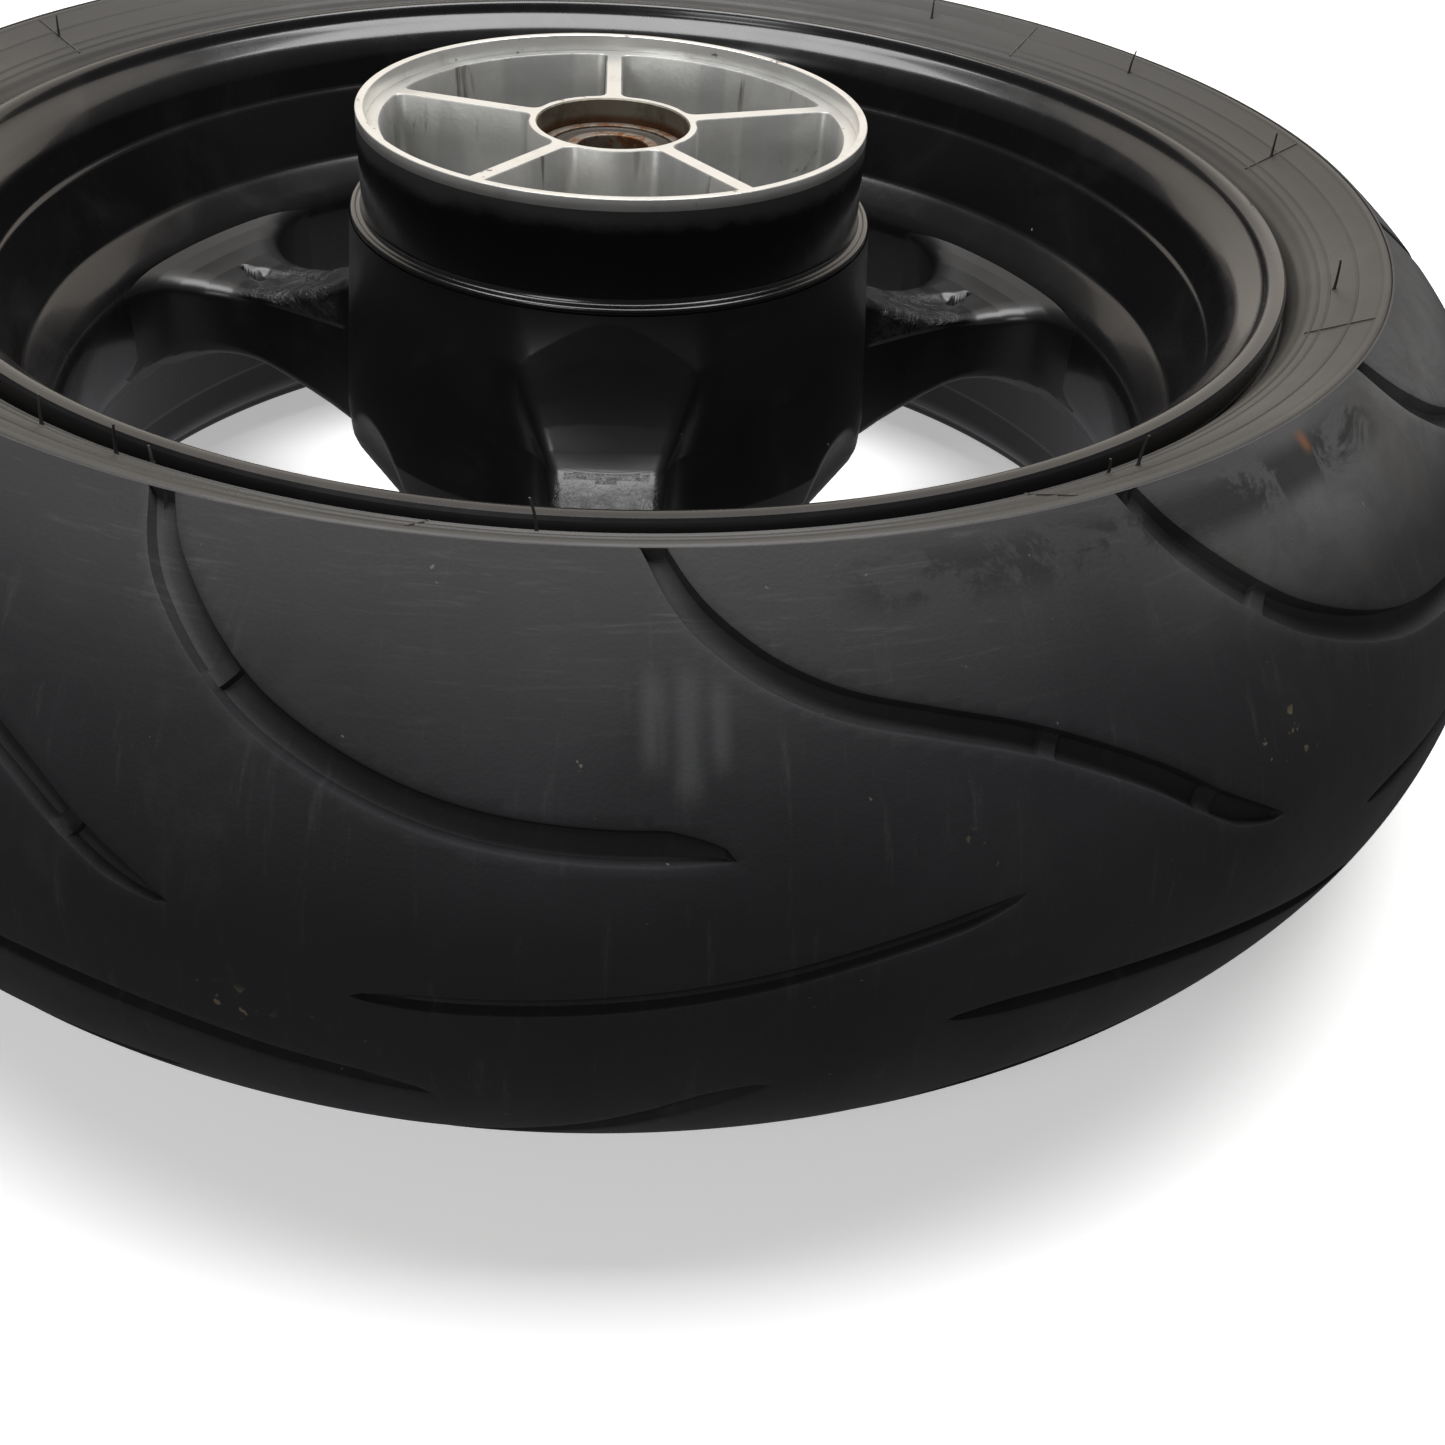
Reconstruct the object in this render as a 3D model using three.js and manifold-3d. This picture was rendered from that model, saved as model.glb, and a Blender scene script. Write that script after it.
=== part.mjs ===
// A motorcycle rear wheel with its tyre mounted, lying flat with its sprocket side up.
// Units are millimetres, +Z is up along the spin axis, and z = 0 is the floor it lies on.
// The tyre is built as its real layers, the wheel as one casting, and the hub holds two
// sealed ball bearings, a spacer tube and a dust seal. A clamp-in air valve sits at +Y.
import * as THREE from 'three';
import { mergeVertices } from 'three/addons/utils/BufferGeometryUtils.js';
import Module from 'manifold-3d';

const wasm = await Module();
wasm.setup();

// Driving dimensions, tyre: a 190 mm wide, 17 inch rear radial.
const TYRE = {
  crownRadius: 319.5,
  edgeRadius: 262.5,
  halfWidth: 97,
  crownPower: 2.3,
  treadDepth: 7.6,
  beltDepth: 7.9,
  carcassDepth: 9.3,
  beltThickness: 1.1,
  carcassThickness: 1.4,
};
const MID = TYRE.halfWidth;
const GAP = 0.3;
const RING_SEGMENTS = 36;
const HUB_SEGMENTS = 32;
const BEARING_SEGMENTS = 20;

// Driving dimensions, wheel: a 17 x 6.00 inch rim with a cush-drive hub.
const RIM = {
  flangeRadius: 232.3,
  halfWidth: 83,
  beadWidth: 76.2,
  beadRadius: 218.3,
  wellRadius: 199.5,
  wall: 4.5,
};
const HUB = {
  top: 110.8,
  bottom: -72,
  rimRadius: 87.4,
  lipRadius: 91.4,
  lipHeight: 76.7,
  waistRadius: 97.5,
  cavityRadius: 84.3,
  pocketRadius: 79.5,
  vaneTop: 105.3,
  pocketFloor: 62,
  vaneThickness: 6,
  sleeveRadius: 29.3,
};
const SPOKE_ANGLES = [30, 150, 270];
const VANE_ANGLES = [18, 90, 162, 234, 306];
const DISC = { pcd: 100, holes: 5, holeRadius: 4, holeDepth: 9 };

// Driving dimensions, bearings: 25 x 52 x 15 mm deep-groove, sealed both sides.
const BEARING = {
  bore: 12.5,
  outer: 26,
  halfHeight: 7.5,
  innerShoulder: 16.2,
  outerShoulder: 22.3,
  pitch: 19.25,
  ball: 3.85,
  balls: 9,
};
const SEAT_RADIUS = BEARING.outer + GAP;
const UPPER_BEARING = 89.5;
const LOWER_BEARING = -58.5;

// Driving dimensions, valve: distances from the spin axis along +Y.
const VALVE = {
  spotFace: 198,
  bossFace: 191,
  head: 203.2,
  tip: 158,
  stemRadius: 4,
  boreRadius: 2.3,
  holeRadius: 4.3,
  capEnd: 155,
  capMouth: 169,
};

const FINISH = {
  tread: [0x2c2d30, 0.88, 0],
  sidewall: [0x4a4745, 0.7, 0],
  cord: [0x8a7f63, 0.8, 0],
  steel_wire: [0xa9967a, 0.4, 1],
  filler: [0x1c1c1c, 0.8, 0],
  black_paint: [0x0b0b0d, 0.18, 0.2],
  bearing_steel: [0x6e5a48, 0.45, 1],
  ball_steel: [0xd9dbde, 0.12, 1],
  cage_steel: [0x9c9d98, 0.4, 1],
  seal_rubber: [0x1a1a1b, 0.7, 0],
  spacer_steel: [0x77756f, 0.5, 1],
  valve_brass: [0xb99a55, 0.35, 1],
  valve_nickel: [0xbfc0bd, 0.3, 1],
  cap_plastic: [0x121214, 0.5, 0],
};

const group = new THREE.Group();

function addPart(name, geometry, finish) {
  const [color, roughness, metalness] = FINISH[finish];
  const material = new THREE.MeshStandardMaterial({ color, roughness, metalness });
  const mesh = new THREE.Mesh(geometry, material);
  mesh.name = name;
  group.add(mesh);
}

// ---- solids ----

// Shared vertices only, without the flat faces that a lathe leaves on its axis.
function positionOnly(geometry) {
  const copy = geometry.clone();
  copy.deleteAttribute('normal');
  copy.deleteAttribute('uv');
  const merged = mergeVertices(copy, 1e-5);
  const index = merged.index.array;
  const faces = [];
  for (let i = 0; i < index.length; i += 3) {
    const [a, b, c] = index.slice(i, i + 3);
    if (a !== b && b !== c && c !== a) faces.push(a, b, c);
  }
  merged.setIndex(faces);
  return merged;
}

function toSolid(geometry) {
  const merged = positionOnly(geometry);
  const mesh = new wasm.Mesh({
    numProp: 3,
    vertProperties: new Float32Array(merged.attributes.position.array),
    triVerts: new Uint32Array(merged.index.array),
  });
  return new wasm.Manifold(mesh);
}

function toGeometry(solid) {
  const mesh = solid.getMesh();
  const geometry = new THREE.BufferGeometry();
  geometry.setAttribute('position', new THREE.BufferAttribute(new Float32Array(mesh.vertProperties), 3));
  geometry.setIndex(new THREE.BufferAttribute(new Uint32Array(mesh.triVerts), 1));
  return geometry;
}

function signedArea(points) {
  let area = 0;
  points.forEach(([r, w], i) => {
    const [r2, w2] = points[(i + 1) % points.length];
    area += r * w2 - r2 * w;
  });
  return area / 2;
}

// A closed outline of [radius, height from the wheel's mid-plane], turned round the spin axis.
function ring(points, segments = RING_SEGMENTS) {
  const ordered = signedArea(points) > 0 ? points : [...points].reverse();
  const outline = [...ordered, ordered[0]].map(([r, w]) => new THREE.Vector2(r, w));
  const geometry = positionOnly(new THREE.LatheGeometry(outline, segments, Math.PI / 2));
  geometry.rotateX(Math.PI / 2);
  geometry.translate(0, 0, MID);
  return geometry;
}

// The same, about the valve's axis: points are [radius, distance from the spin axis].
function valveRing(points, segments = 12) {
  const geometry = ring(points, segments);
  geometry.translate(0, 0, -MID);
  geometry.rotateX(-Math.PI / 2);
  geometry.translate(0, 0, MID);
  return geometry;
}

function mirrored(points) {
  return [...points].reverse().map(([r, w]) => [r, -w]);
}

// A solid through a row of same-size loops of points, closed by flat ends.
function loft(loops) {
  const sides = loops[0].length;
  const positions = loops.flat(2);
  const faces = [];
  for (let i = 0; i + 1 < loops.length; i += 1) {
    for (let j = 0; j < sides; j += 1) {
      const a = i * sides + j;
      const b = i * sides + ((j + 1) % sides);
      faces.push(a, b, b + sides, a, b + sides, a + sides);
    }
  }
  const last = (loops.length - 1) * sides;
  for (let j = 1; j + 1 < sides; j += 1) {
    faces.push(0, j + 1, j);
    faces.push(last, last + j, last + j + 1);
  }
  const geometry = new THREE.BufferGeometry();
  geometry.setAttribute('position', new THREE.Float32BufferAttribute(positions, 3));
  geometry.setIndex(faces);
  return geometry;
}

function cylinderAt(radius, height, x, y, z, segments = 12) {
  const geometry = new THREE.CylinderGeometry(radius, radius, height, segments);
  geometry.rotateX(Math.PI / 2);
  geometry.translate(x, y, z);
  return toSolid(geometry);
}

function polar(radius, degrees) {
  const angle = THREE.MathUtils.degToRad(degrees);
  return [radius * Math.cos(angle), radius * Math.sin(angle)];
}

// ---- tyre ----

// A point under the tread surface, at a height from the mid-plane and a depth along the normal.
function treadPoint(height, depth) {
  const { crownRadius, edgeRadius, halfWidth, crownPower } = TYRE;
  const drop = crownRadius - edgeRadius;
  const share = Math.abs(height) / halfWidth;
  const radius = crownRadius - drop * share ** crownPower;
  const slope = (Math.sign(height) * drop * crownPower * share ** (crownPower - 1)) / halfWidth;
  const length = Math.hypot(1, slope);
  return [radius - depth / length, height - (depth * slope) / length];
}

// A path moved sideways by a distance, with mitred corners, to its left.
function offsetPath(path, distance) {
  const normals = path.slice(1).map(([r, w], i) => {
    const [dr, dw] = [r - path[i][0], w - path[i][1]];
    const length = Math.hypot(dr, dw);
    return [-dw / length, dr / length];
  });
  return path.map(([r, w], i) => {
    const before = normals[Math.max(i - 1, 0)];
    const after = normals[Math.min(i, normals.length - 1)];
    const scale = distance / (1 + before[0] * after[0] + before[1] * after[1]);
    return [r + (before[0] + after[0]) * scale, w + (before[1] + after[1]) * scale];
  });
}

const OUTER_STATIONS = [-1, -0.9, -0.74, -0.52, -0.27, 0, 0.27, 0.52, 0.74, 0.9, 1];
const LAYER_STATIONS = [-0.93, -0.66, -0.35, 0, 0.35, 0.66, 0.93];
const alongTread = (stations, depth) => stations.map((s) => treadPoint(s * TYRE.halfWidth, depth));

// The belt's edges stop short of the other layers, on the same straight stretch.
function alongBelt(depth) {
  const path = alongTread(LAYER_STATIONS, depth);
  const last = path.length - 1;
  const short = (from, to) => from.map((value, i) => value + 0.8 * (to[i] - value));
  return [short(path[1], path[0]), ...path.slice(1, last), short(path[last - 1], path[last])];
}

// Groove routes on the upper half: degrees from the start of a repeat, and millimetres round the
// section from the crown. The first two start at the shoulder, and the third lies near the crown.
const REPEATS = 7;
const FIRST_REPEAT = 247.4;
const GROOVES = [
  { width: 7.5, route: [[-0.2, 120], [3, 94], [7.8, 72], [15, 55.5], [27.8, 49.5]] },
  { width: 6.5, route: [[24.6, 120], [28, 96], [33.3, 79], [40.3, 68], [48.5, 46], [55.6, 22]] },
  { width: 5, route: [[12.7, 6], [26, 11.5], [41, 26.5]] },
];
const GROOVE_DEPTH = 4.2;
const GROOVE_RISE = 4;

// The height from the mid-plane for a distance round the section, found by short steps.
function heightAlongSection(distance) {
  const step = 0.5;
  let height = 0;
  let travelled = 0;
  while (travelled < distance) {
    const [r1, w1] = treadPoint(height, 0);
    const [r2, w2] = treadPoint(height + step, 0);
    travelled += Math.hypot(r2 - r1, w2 - w1);
    height += step;
  }
  return Math.min(height, TYRE.halfWidth + 6);
}

// One groove: a V with its point under the surface, pinched at the end away from the shoulder.
function groove({ width, route }, start, side) {
  const stations = route.map(([angle, distance]) => {
    const height = heightAlongSection(distance);
    const at = (depth) => {
      const [r, w] = treadPoint(Math.min(height, TYRE.halfWidth), depth);
      const extra = Math.max(height - TYRE.halfWidth, 0);
      const [x, y] = polar(r - extra, start + angle);
      return new THREE.Vector3(x, y, MID + side * (w + extra));
    };
    return { top: at(-GROOVE_RISE), floor: at(GROOVE_DEPTH) };
  });
  const loops = stations.map(({ top, floor }, i) => {
    const next = stations[Math.min(i + 1, stations.length - 1)].top;
    const before = stations[Math.max(i - 1, 0)].top;
    const along = next.clone().sub(before).normalize();
    const across = along.cross(top.clone().sub(floor).normalize()).normalize();
    const pinched = i === stations.length - 1;
    const half = (width / 2) * (pinched ? 0.4 : 1 + GROOVE_RISE / GROOVE_DEPTH);
    const bottom = pinched ? floor.clone().lerp(top, 0.4) : floor;
    return [
      top.clone().addScaledVector(across, half).toArray(),
      bottom.toArray(),
      top.clone().addScaledVector(across, -half).toArray(),
    ];
  });
  const solid = toSolid(loft(loops));
  return solid.volume() > 0 ? solid : toSolid(loft(loops.map((loop) => loop.reverse())));
}

function treadRubber() {
  const outer = alongTread(OUTER_STATIONS, 0);
  const inner = alongTread(LAYER_STATIONS, TYRE.treadDepth);
  const shoulder = [261.9, 87.2];
  const body = [...outer, shoulder, ...inner.reverse(), [shoulder[0], -shoulder[1]]];
  let tread = toSolid(ring(body));
  for (let repeat = 0; repeat < REPEATS; repeat += 1) {
    for (const shape of GROOVES) {
      const turn = 360 / REPEATS;
      tread = tread.subtract(groove(shape, FIRST_REPEAT + repeat * turn, 1));
      tread = tread.subtract(groove(shape, FIRST_REPEAT + (repeat + 0.5) * turn, -1));
    }
  }
  return toGeometry(tread);
}

// The carcass's outer face from bead to bead.
const CARCASS_SIDE = [[258.5, 84.2], [242, 76.6], [229, 64.9], [220.3, 64.9]];
const CARCASS_FACE = [
  ...mirrored(CARCASS_SIDE),
  ...alongTread(LAYER_STATIONS, TYRE.carcassDepth),
  ...CARCASS_SIDE,
];

const SIDEWALL = [
  [261.6, 96.95], [259.4, 97], [250, 91.4], [238.2, 85.3], [234.6, 83.2], [233.3, 75.8],
  [220.9, 75.8], [218.7, 74.6], [218.7, 58.6], [219.8, 58.6], [219.8, 73.7], [229, 73.7], [250, 83.4], [261.6, 87.4],
];
const BEAD_CORE = [[220.2, 65.3], [227.8, 65.3], [227.8, 73.3], [220.2, 73.3]];
const BEAD_FILLER = [[228.2, 65.6], [228.2, 72.9], [247, 81.6]];

function addTyre() {
  addPart('tread_rubber', treadRubber(), 'tread');
  addPart('sidewall_rubber_upper', ring(SIDEWALL), 'sidewall');
  addPart('sidewall_rubber_lower', ring(mirrored(SIDEWALL)), 'sidewall');
  const beltInside = alongBelt(TYRE.beltDepth + TYRE.beltThickness);
  addPart('belt_ply', ring([...alongBelt(TYRE.beltDepth), ...beltInside.reverse()]), 'cord');
  const carcassInside = offsetPath(CARCASS_FACE, TYRE.carcassThickness);
  addPart('carcass_ply', ring([...CARCASS_FACE, ...carcassInside.reverse()]), 'cord');
  addPart('bead_core_upper', ring(BEAD_CORE), 'steel_wire');
  addPart('bead_core_lower', ring(mirrored(BEAD_CORE)), 'steel_wire');
  addPart('bead_filler_upper', ring(BEAD_FILLER), 'filler');
  addPart('bead_filler_lower', ring(mirrored(BEAD_FILLER)), 'filler');
}

// ---- wheel casting ----

// Half of the rim wall: the tyre's side from the mid-plane out, then the hub's side back in.
const RIM_TYRE_SIDE = [
  [RIM.wellRadius, 20], [209.5, 33], [217.4, 53], [RIM.beadRadius, 57], [RIM.beadRadius, 75.2],
  [220.6, RIM.beadWidth], [230.4, RIM.beadWidth + 0.4], [RIM.flangeRadius, 79], [231.4, RIM.halfWidth],
];
const RIM_HUB_SIDE = [[221, 79.2], [214.8, 72.5], [213.4, 58.6], [205.5, 29.6], [RIM.wellRadius - RIM.wall, 17.5]];

function rimWall() {
  const half = [...RIM_TYRE_SIDE, ...RIM_HUB_SIDE];
  return toSolid(ring([...half, ...mirrored(half)]));
}

// Everything that lies inside the middle of the rim's wall, which trims the spokes' outer ends.
function insideRim() {
  const edge = [[RIM.wellRadius - 1.5, 17], [208, 31], [215, 54]];
  return toSolid(ring([[0, 54], [0, -54], ...mirrored(edge), ...edge]));
}

// Spoke sections from the hub out: distance, half width, top and bottom from the mid-plane.
const SPOKE_SECTIONS = [
  [70, 30, 30, -40], [98, 26, 25, -38], [120, 20.5, 19, -31], [155, 18.5, 14, -22], [180, 22, 12.5, -17],
  [196, 36, 15, -18], [216, 62, 22, -25],
];
const SPOKE_POCKET = [[112, 8, 2], [140, 8.5, -1], [176, 8.5, 0], [185, 5, 4]];

function spokeSection([distance, half, top, bottom]) {
  const [c, h] = [0.3 * half, 0.22 * (top - bottom)];
  return [
    [distance, -half, MID + bottom + h], [distance, -half + c, MID + bottom],
    [distance, half - c, MID + bottom], [distance, half, MID + bottom + h],
    [distance, half, MID + top - h], [distance, half - c, MID + top],
    [distance, -half + c, MID + top], [distance, -half, MID + top - h],
  ];
}

function pocketSection([distance, half, floor]) {
  const top = MID + 40;
  return [
    [distance, -half * 0.7, MID + floor], [distance, half * 0.7, MID + floor],
    [distance, half * 1.3, top], [distance, -half * 1.3, top],
  ];
}

function hubBody() {
  return toSolid(ring([
    [0, HUB.bottom], [60, HUB.bottom], [62, HUB.bottom + 2], [62, -56], [78, -39], [97, -6],
    [HUB.waistRadius, 6], [93, 60], [HUB.lipRadius, HUB.lipHeight], [HUB.rimRadius, HUB.lipHeight + 1.5],
    [HUB.rimRadius, HUB.top], [0, HUB.top],
  ], HUB_SEGMENTS));
}

// The five cush pockets: the wide mouth, then the ring-shaped well less the five vanes.
function cushPockets() {
  const mouth = toSolid(ring([
    [0, HUB.vaneTop], [HUB.cavityRadius, HUB.vaneTop], [HUB.cavityRadius, HUB.top + 5], [0, HUB.top + 5],
  ], HUB_SEGMENTS));
  let well = toSolid(ring([
    [HUB.sleeveRadius, HUB.pocketFloor], [HUB.pocketRadius - 2, HUB.pocketFloor],
    [HUB.pocketRadius, HUB.vaneTop + 1], [HUB.sleeveRadius, HUB.vaneTop + 1],
  ], HUB_SEGMENTS));
  for (const angle of VANE_ANGLES) {
    const vane = new THREE.BoxGeometry(HUB.pocketRadius, HUB.vaneThickness, 60);
    vane.translate(HUB.pocketRadius / 2 + 10, 0, MID + HUB.vaneTop - 20);
    vane.rotateZ(THREE.MathUtils.degToRad(angle));
    well = well.subtract(toSolid(vane));
  }
  return mouth.add(well);
}

// The space cored out under the cush drive, open below through round holes.
function hubCore() {
  let core = toSolid(ring([
    [35, -60], [54, -60], [54, -54], [70, -37], [90, 0], [86, 50], [35, 50],
  ], HUB_SEGMENTS));
  for (let i = 0; i < DISC.holes; i += 1) {
    const [x, y] = polar(42, 54 + (360 / DISC.holes) * i);
    core = core.add(cylinderAt(6, 30, x, y, MID - 66));
  }
  return core;
}

// The stepped bore: a bearing seat at each end and a shoulder between them.
function hubBore() {
  const shoulder = 22;
  return toSolid(ring([
    [0, HUB.bottom - 5], [SEAT_RADIUS, HUB.bottom - 5],
    [SEAT_RADIUS, LOWER_BEARING + BEARING.halfHeight + GAP], [shoulder, LOWER_BEARING + BEARING.halfHeight + GAP],
    [shoulder, UPPER_BEARING - BEARING.halfHeight - GAP], [SEAT_RADIUS, UPPER_BEARING - BEARING.halfHeight - GAP],
    [SEAT_RADIUS, HUB.top + 5], [0, HUB.top + 5],
  ], BEARING_SEGMENTS));
}

function valveCylinder(radius, from, to, segments = 16) {
  return toSolid(valveRing([[0, from], [radius, from], [radius, to], [0, to]], segments));
}

function wheelCasting() {
  let casting = rimWall().add(valveCylinder(10, VALVE.bossFace, VALVE.spotFace));
  const limit = insideRim();
  let hub = hubBody();
  const pockets = [];
  for (const angle of SPOKE_ANGLES) {
    const turn = THREE.MathUtils.degToRad(angle);
    const spoke = loft(SPOKE_SECTIONS.map(spokeSection)).rotateZ(turn);
    hub = hub.add(toSolid(spoke).intersect(limit));
    pockets.push(toSolid(loft(SPOKE_POCKET.map(pocketSection)).rotateZ(turn)));
  }
  hub = hub.subtract(hubCore()).subtract(cushPockets()).subtract(hubBore());
  casting = casting.add(hub);
  for (const pocket of pockets) casting = casting.subtract(pocket);
  for (let i = 0; i < DISC.holes; i += 1) {
    const [x, y] = polar(DISC.pcd / 2, 18 + (360 / DISC.holes) * i);
    casting = casting.subtract(cylinderAt(DISC.holeRadius, 2 * DISC.holeDepth, x, y, MID + HUB.bottom));
  }
  casting = casting.subtract(valveCylinder(9, VALVE.spotFace, VALVE.spotFace + 12));
  casting = casting.subtract(valveCylinder(VALVE.holeRadius, VALVE.bossFace - 4, VALVE.spotFace + 4));
  return toGeometry(casting);
}

// ---- bearings ----

function raceProfile(face, shoulder, direction, middle) {
  const { halfHeight, pitch } = BEARING;
  const groove = pitch + direction * (BEARING.ball + 0.25);
  const flank = pitch + direction * (BEARING.ball - 0.1);
  return [
    [face, middle - halfHeight], [face, middle + halfHeight],
    [shoulder, middle + halfHeight], [shoulder, middle + 2.9], [flank, middle + 1.9], [groove, middle],
    [flank, middle - 1.9], [shoulder, middle - 2.9], [shoulder, middle - halfHeight],
  ];
}

function cage(middle) {
  let body = toSolid(ring([
    [18.6, middle - 5.1], [19.9, middle - 5.1], [19.9, middle + 5.1], [18.6, middle + 5.1],
  ], 2 * BEARING.balls));
  for (let i = 0; i < BEARING.balls; i += 1) {
    const pocket = new THREE.CylinderGeometry(BEARING.ball + 0.4, BEARING.ball + 0.4, 8, 8);
    pocket.rotateZ(Math.PI / 2);
    pocket.translate(BEARING.pitch, 0, MID + middle);
    pocket.rotateZ((i / BEARING.balls) * 2 * Math.PI);
    body = body.subtract(toSolid(pocket));
  }
  return toGeometry(body);
}

function sealProfile(middle, side) {
  const [low, high] = [middle + side * 5.9, middle + side * 7.1];
  return [[BEARING.innerShoulder + 0.35, low], [BEARING.outerShoulder - 0.35, low],
    [BEARING.outerShoulder - 0.35, high], [BEARING.innerShoulder + 0.35, high]];
}

function addBearing(place, middle) {
  const outer = raceProfile(BEARING.outer, BEARING.outerShoulder, 1, middle);
  const inner = raceProfile(BEARING.bore, BEARING.innerShoulder, -1, middle);
  addPart(`bearing_outer_ring_${place}`, ring(outer, BEARING_SEGMENTS), 'bearing_steel');
  addPart(`bearing_inner_ring_${place}`, ring(inner, BEARING_SEGMENTS), 'bearing_steel');
  addPart(`bearing_cage_${place}`, cage(middle), 'cage_steel');
  addPart(`bearing_seal_${place}_top`, ring(sealProfile(middle, 1), BEARING_SEGMENTS), 'seal_rubber');
  addPart(`bearing_seal_${place}_bottom`, ring(sealProfile(middle, -1), BEARING_SEGMENTS), 'seal_rubber');
  for (let i = 0; i < BEARING.balls; i += 1) {
    const ball = new THREE.OctahedronGeometry(BEARING.ball, 1);
    const [x, y] = polar(BEARING.pitch, (360 / BEARING.balls) * i);
    ball.translate(x, y, MID + middle);
    addPart(`bearing_ball_${place}_${i + 1}`, positionOnly(ball), 'ball_steel');
  }
}

function addHubParts() {
  addBearing('upper', UPPER_BEARING);
  addBearing('lower', LOWER_BEARING);
  const low = LOWER_BEARING + BEARING.halfHeight + GAP;
  const high = UPPER_BEARING - BEARING.halfHeight - GAP;
  const spacer = [[12.7, low], [16, low], [16, high], [12.7, high]];
  addPart('axle_spacer_tube', ring(spacer, BEARING_SEGMENTS), 'spacer_steel');
  const sealTop = LOWER_BEARING - BEARING.halfHeight - GAP;
  const seal = [[16.8, sealTop - 1], [18.4, sealTop - 5], [BEARING.outer, sealTop - 5], [BEARING.outer, sealTop]];
  addPart('dust_seal_lower', ring(seal, BEARING_SEGMENTS), 'seal_rubber');
}

// ---- valve ----

function nutGeometry() {
  const body = valveCylinder(6.9, 184.6, 189.2, 6);
  return toGeometry(body.subtract(valveCylinder(VALVE.holeRadius, 180, 195, 12)));
}

function addValve() {
  const { head, tip, stemRadius, boreRadius, spotFace, bossFace, holeRadius, capEnd, capMouth } = VALVE;
  addPart('valve_stem', valveRing([
    [boreRadius, tip], [3.5, tip], [stemRadius, tip + 1], [stemRadius, head - 2.2], [7.5, head - 2.2],
    [7.5, head], [boreRadius, head],
  ]), 'valve_nickel');
  addPart('valve_grommet', valveRing([
    [holeRadius, spotFace + GAP], [7.4, spotFace + GAP], [7.4, head - 2.5], [holeRadius, head - 2.5],
  ]), 'seal_rubber');
  addPart('valve_washer', valveRing([
    [holeRadius, 189.5], [8, 189.5], [8, bossFace - GAP], [holeRadius, bossFace - GAP],
  ]), 'valve_nickel');
  addPart('valve_nut', nutGeometry(), 'valve_nickel');
  addPart('valve_core_body', valveRing([
    [1.1, tip + 3], [1.9, tip + 3], [1.9, tip + 12], [1.1, tip + 12],
  ], 10), 'valve_brass');
  addPart('valve_core_pin', valveRing([
    [0, tip + 0.6], [0.7, tip + 0.6], [0.7, tip + 17], [0, tip + 17],
  ], 8), 'valve_brass');
  addPart('valve_core_seal', valveRing([
    [1.05, tip + 12.4], [1.8, tip + 12.4], [1.8, tip + 14], [1.05, tip + 14],
  ], 10), 'seal_rubber');
  addPart('valve_cap', valveRing([
    [0, capEnd], [4.6, capEnd], [5.4, capEnd + 0.8], [5.4, capMouth], [4.35, capMouth],
    [4.35, capEnd + 1.5], [0, capEnd + 1.5],
  ]), 'cap_plastic');
  addPart('valve_cap_seal', valveRing([
    [0.9, capEnd + 1.8], [3.9, capEnd + 1.8], [3.9, tip - GAP], [0.9, tip - GAP],
  ]), 'seal_rubber');
}

addTyre();
addPart('wheel_casting', wheelCasting(), 'black_paint');
addHubParts();
addValve();

export default group;
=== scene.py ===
"""A motorcycle rear wheel with its tyre, lying flat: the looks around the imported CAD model.

Lengths named in millimetres are turned to metres once, where a mesh is made. Heights called w are
measured from the wheel's mid-plane, upwards towards the sprocket side.
"""

import math

import bmesh
import bpy
import numpy as np
from mathutils import Matrix, Vector
from mathutils.geometry import delaunay_2d_cdt


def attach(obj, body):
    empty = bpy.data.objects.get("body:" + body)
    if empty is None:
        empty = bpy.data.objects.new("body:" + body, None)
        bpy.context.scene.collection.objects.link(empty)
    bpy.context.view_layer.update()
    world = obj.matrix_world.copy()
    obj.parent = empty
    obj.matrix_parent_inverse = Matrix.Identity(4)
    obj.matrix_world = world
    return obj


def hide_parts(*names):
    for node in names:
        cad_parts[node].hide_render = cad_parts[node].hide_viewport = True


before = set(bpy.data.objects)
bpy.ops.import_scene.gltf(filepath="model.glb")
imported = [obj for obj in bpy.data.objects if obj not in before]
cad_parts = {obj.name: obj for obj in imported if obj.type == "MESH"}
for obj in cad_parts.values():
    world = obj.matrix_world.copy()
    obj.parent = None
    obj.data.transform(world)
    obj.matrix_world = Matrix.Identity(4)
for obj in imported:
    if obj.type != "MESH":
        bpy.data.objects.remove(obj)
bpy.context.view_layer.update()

MM = 0.001
MID = 97.0

# ---------------------------------------------------------------- camera, light, floor

# The camera aims at a point of the wheel's axis, then turns, tilts and rolls away from it.
EYE = (0.0, -0.5751, 0.3890)
AIM = (0.0, 0.0, 0.180)
TURN, TILT, ROLL = (math.radians(a) for a in (3.845, -17.957, 2.298))
LENS = 40.9
SHIFT_X = 0.011


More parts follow.
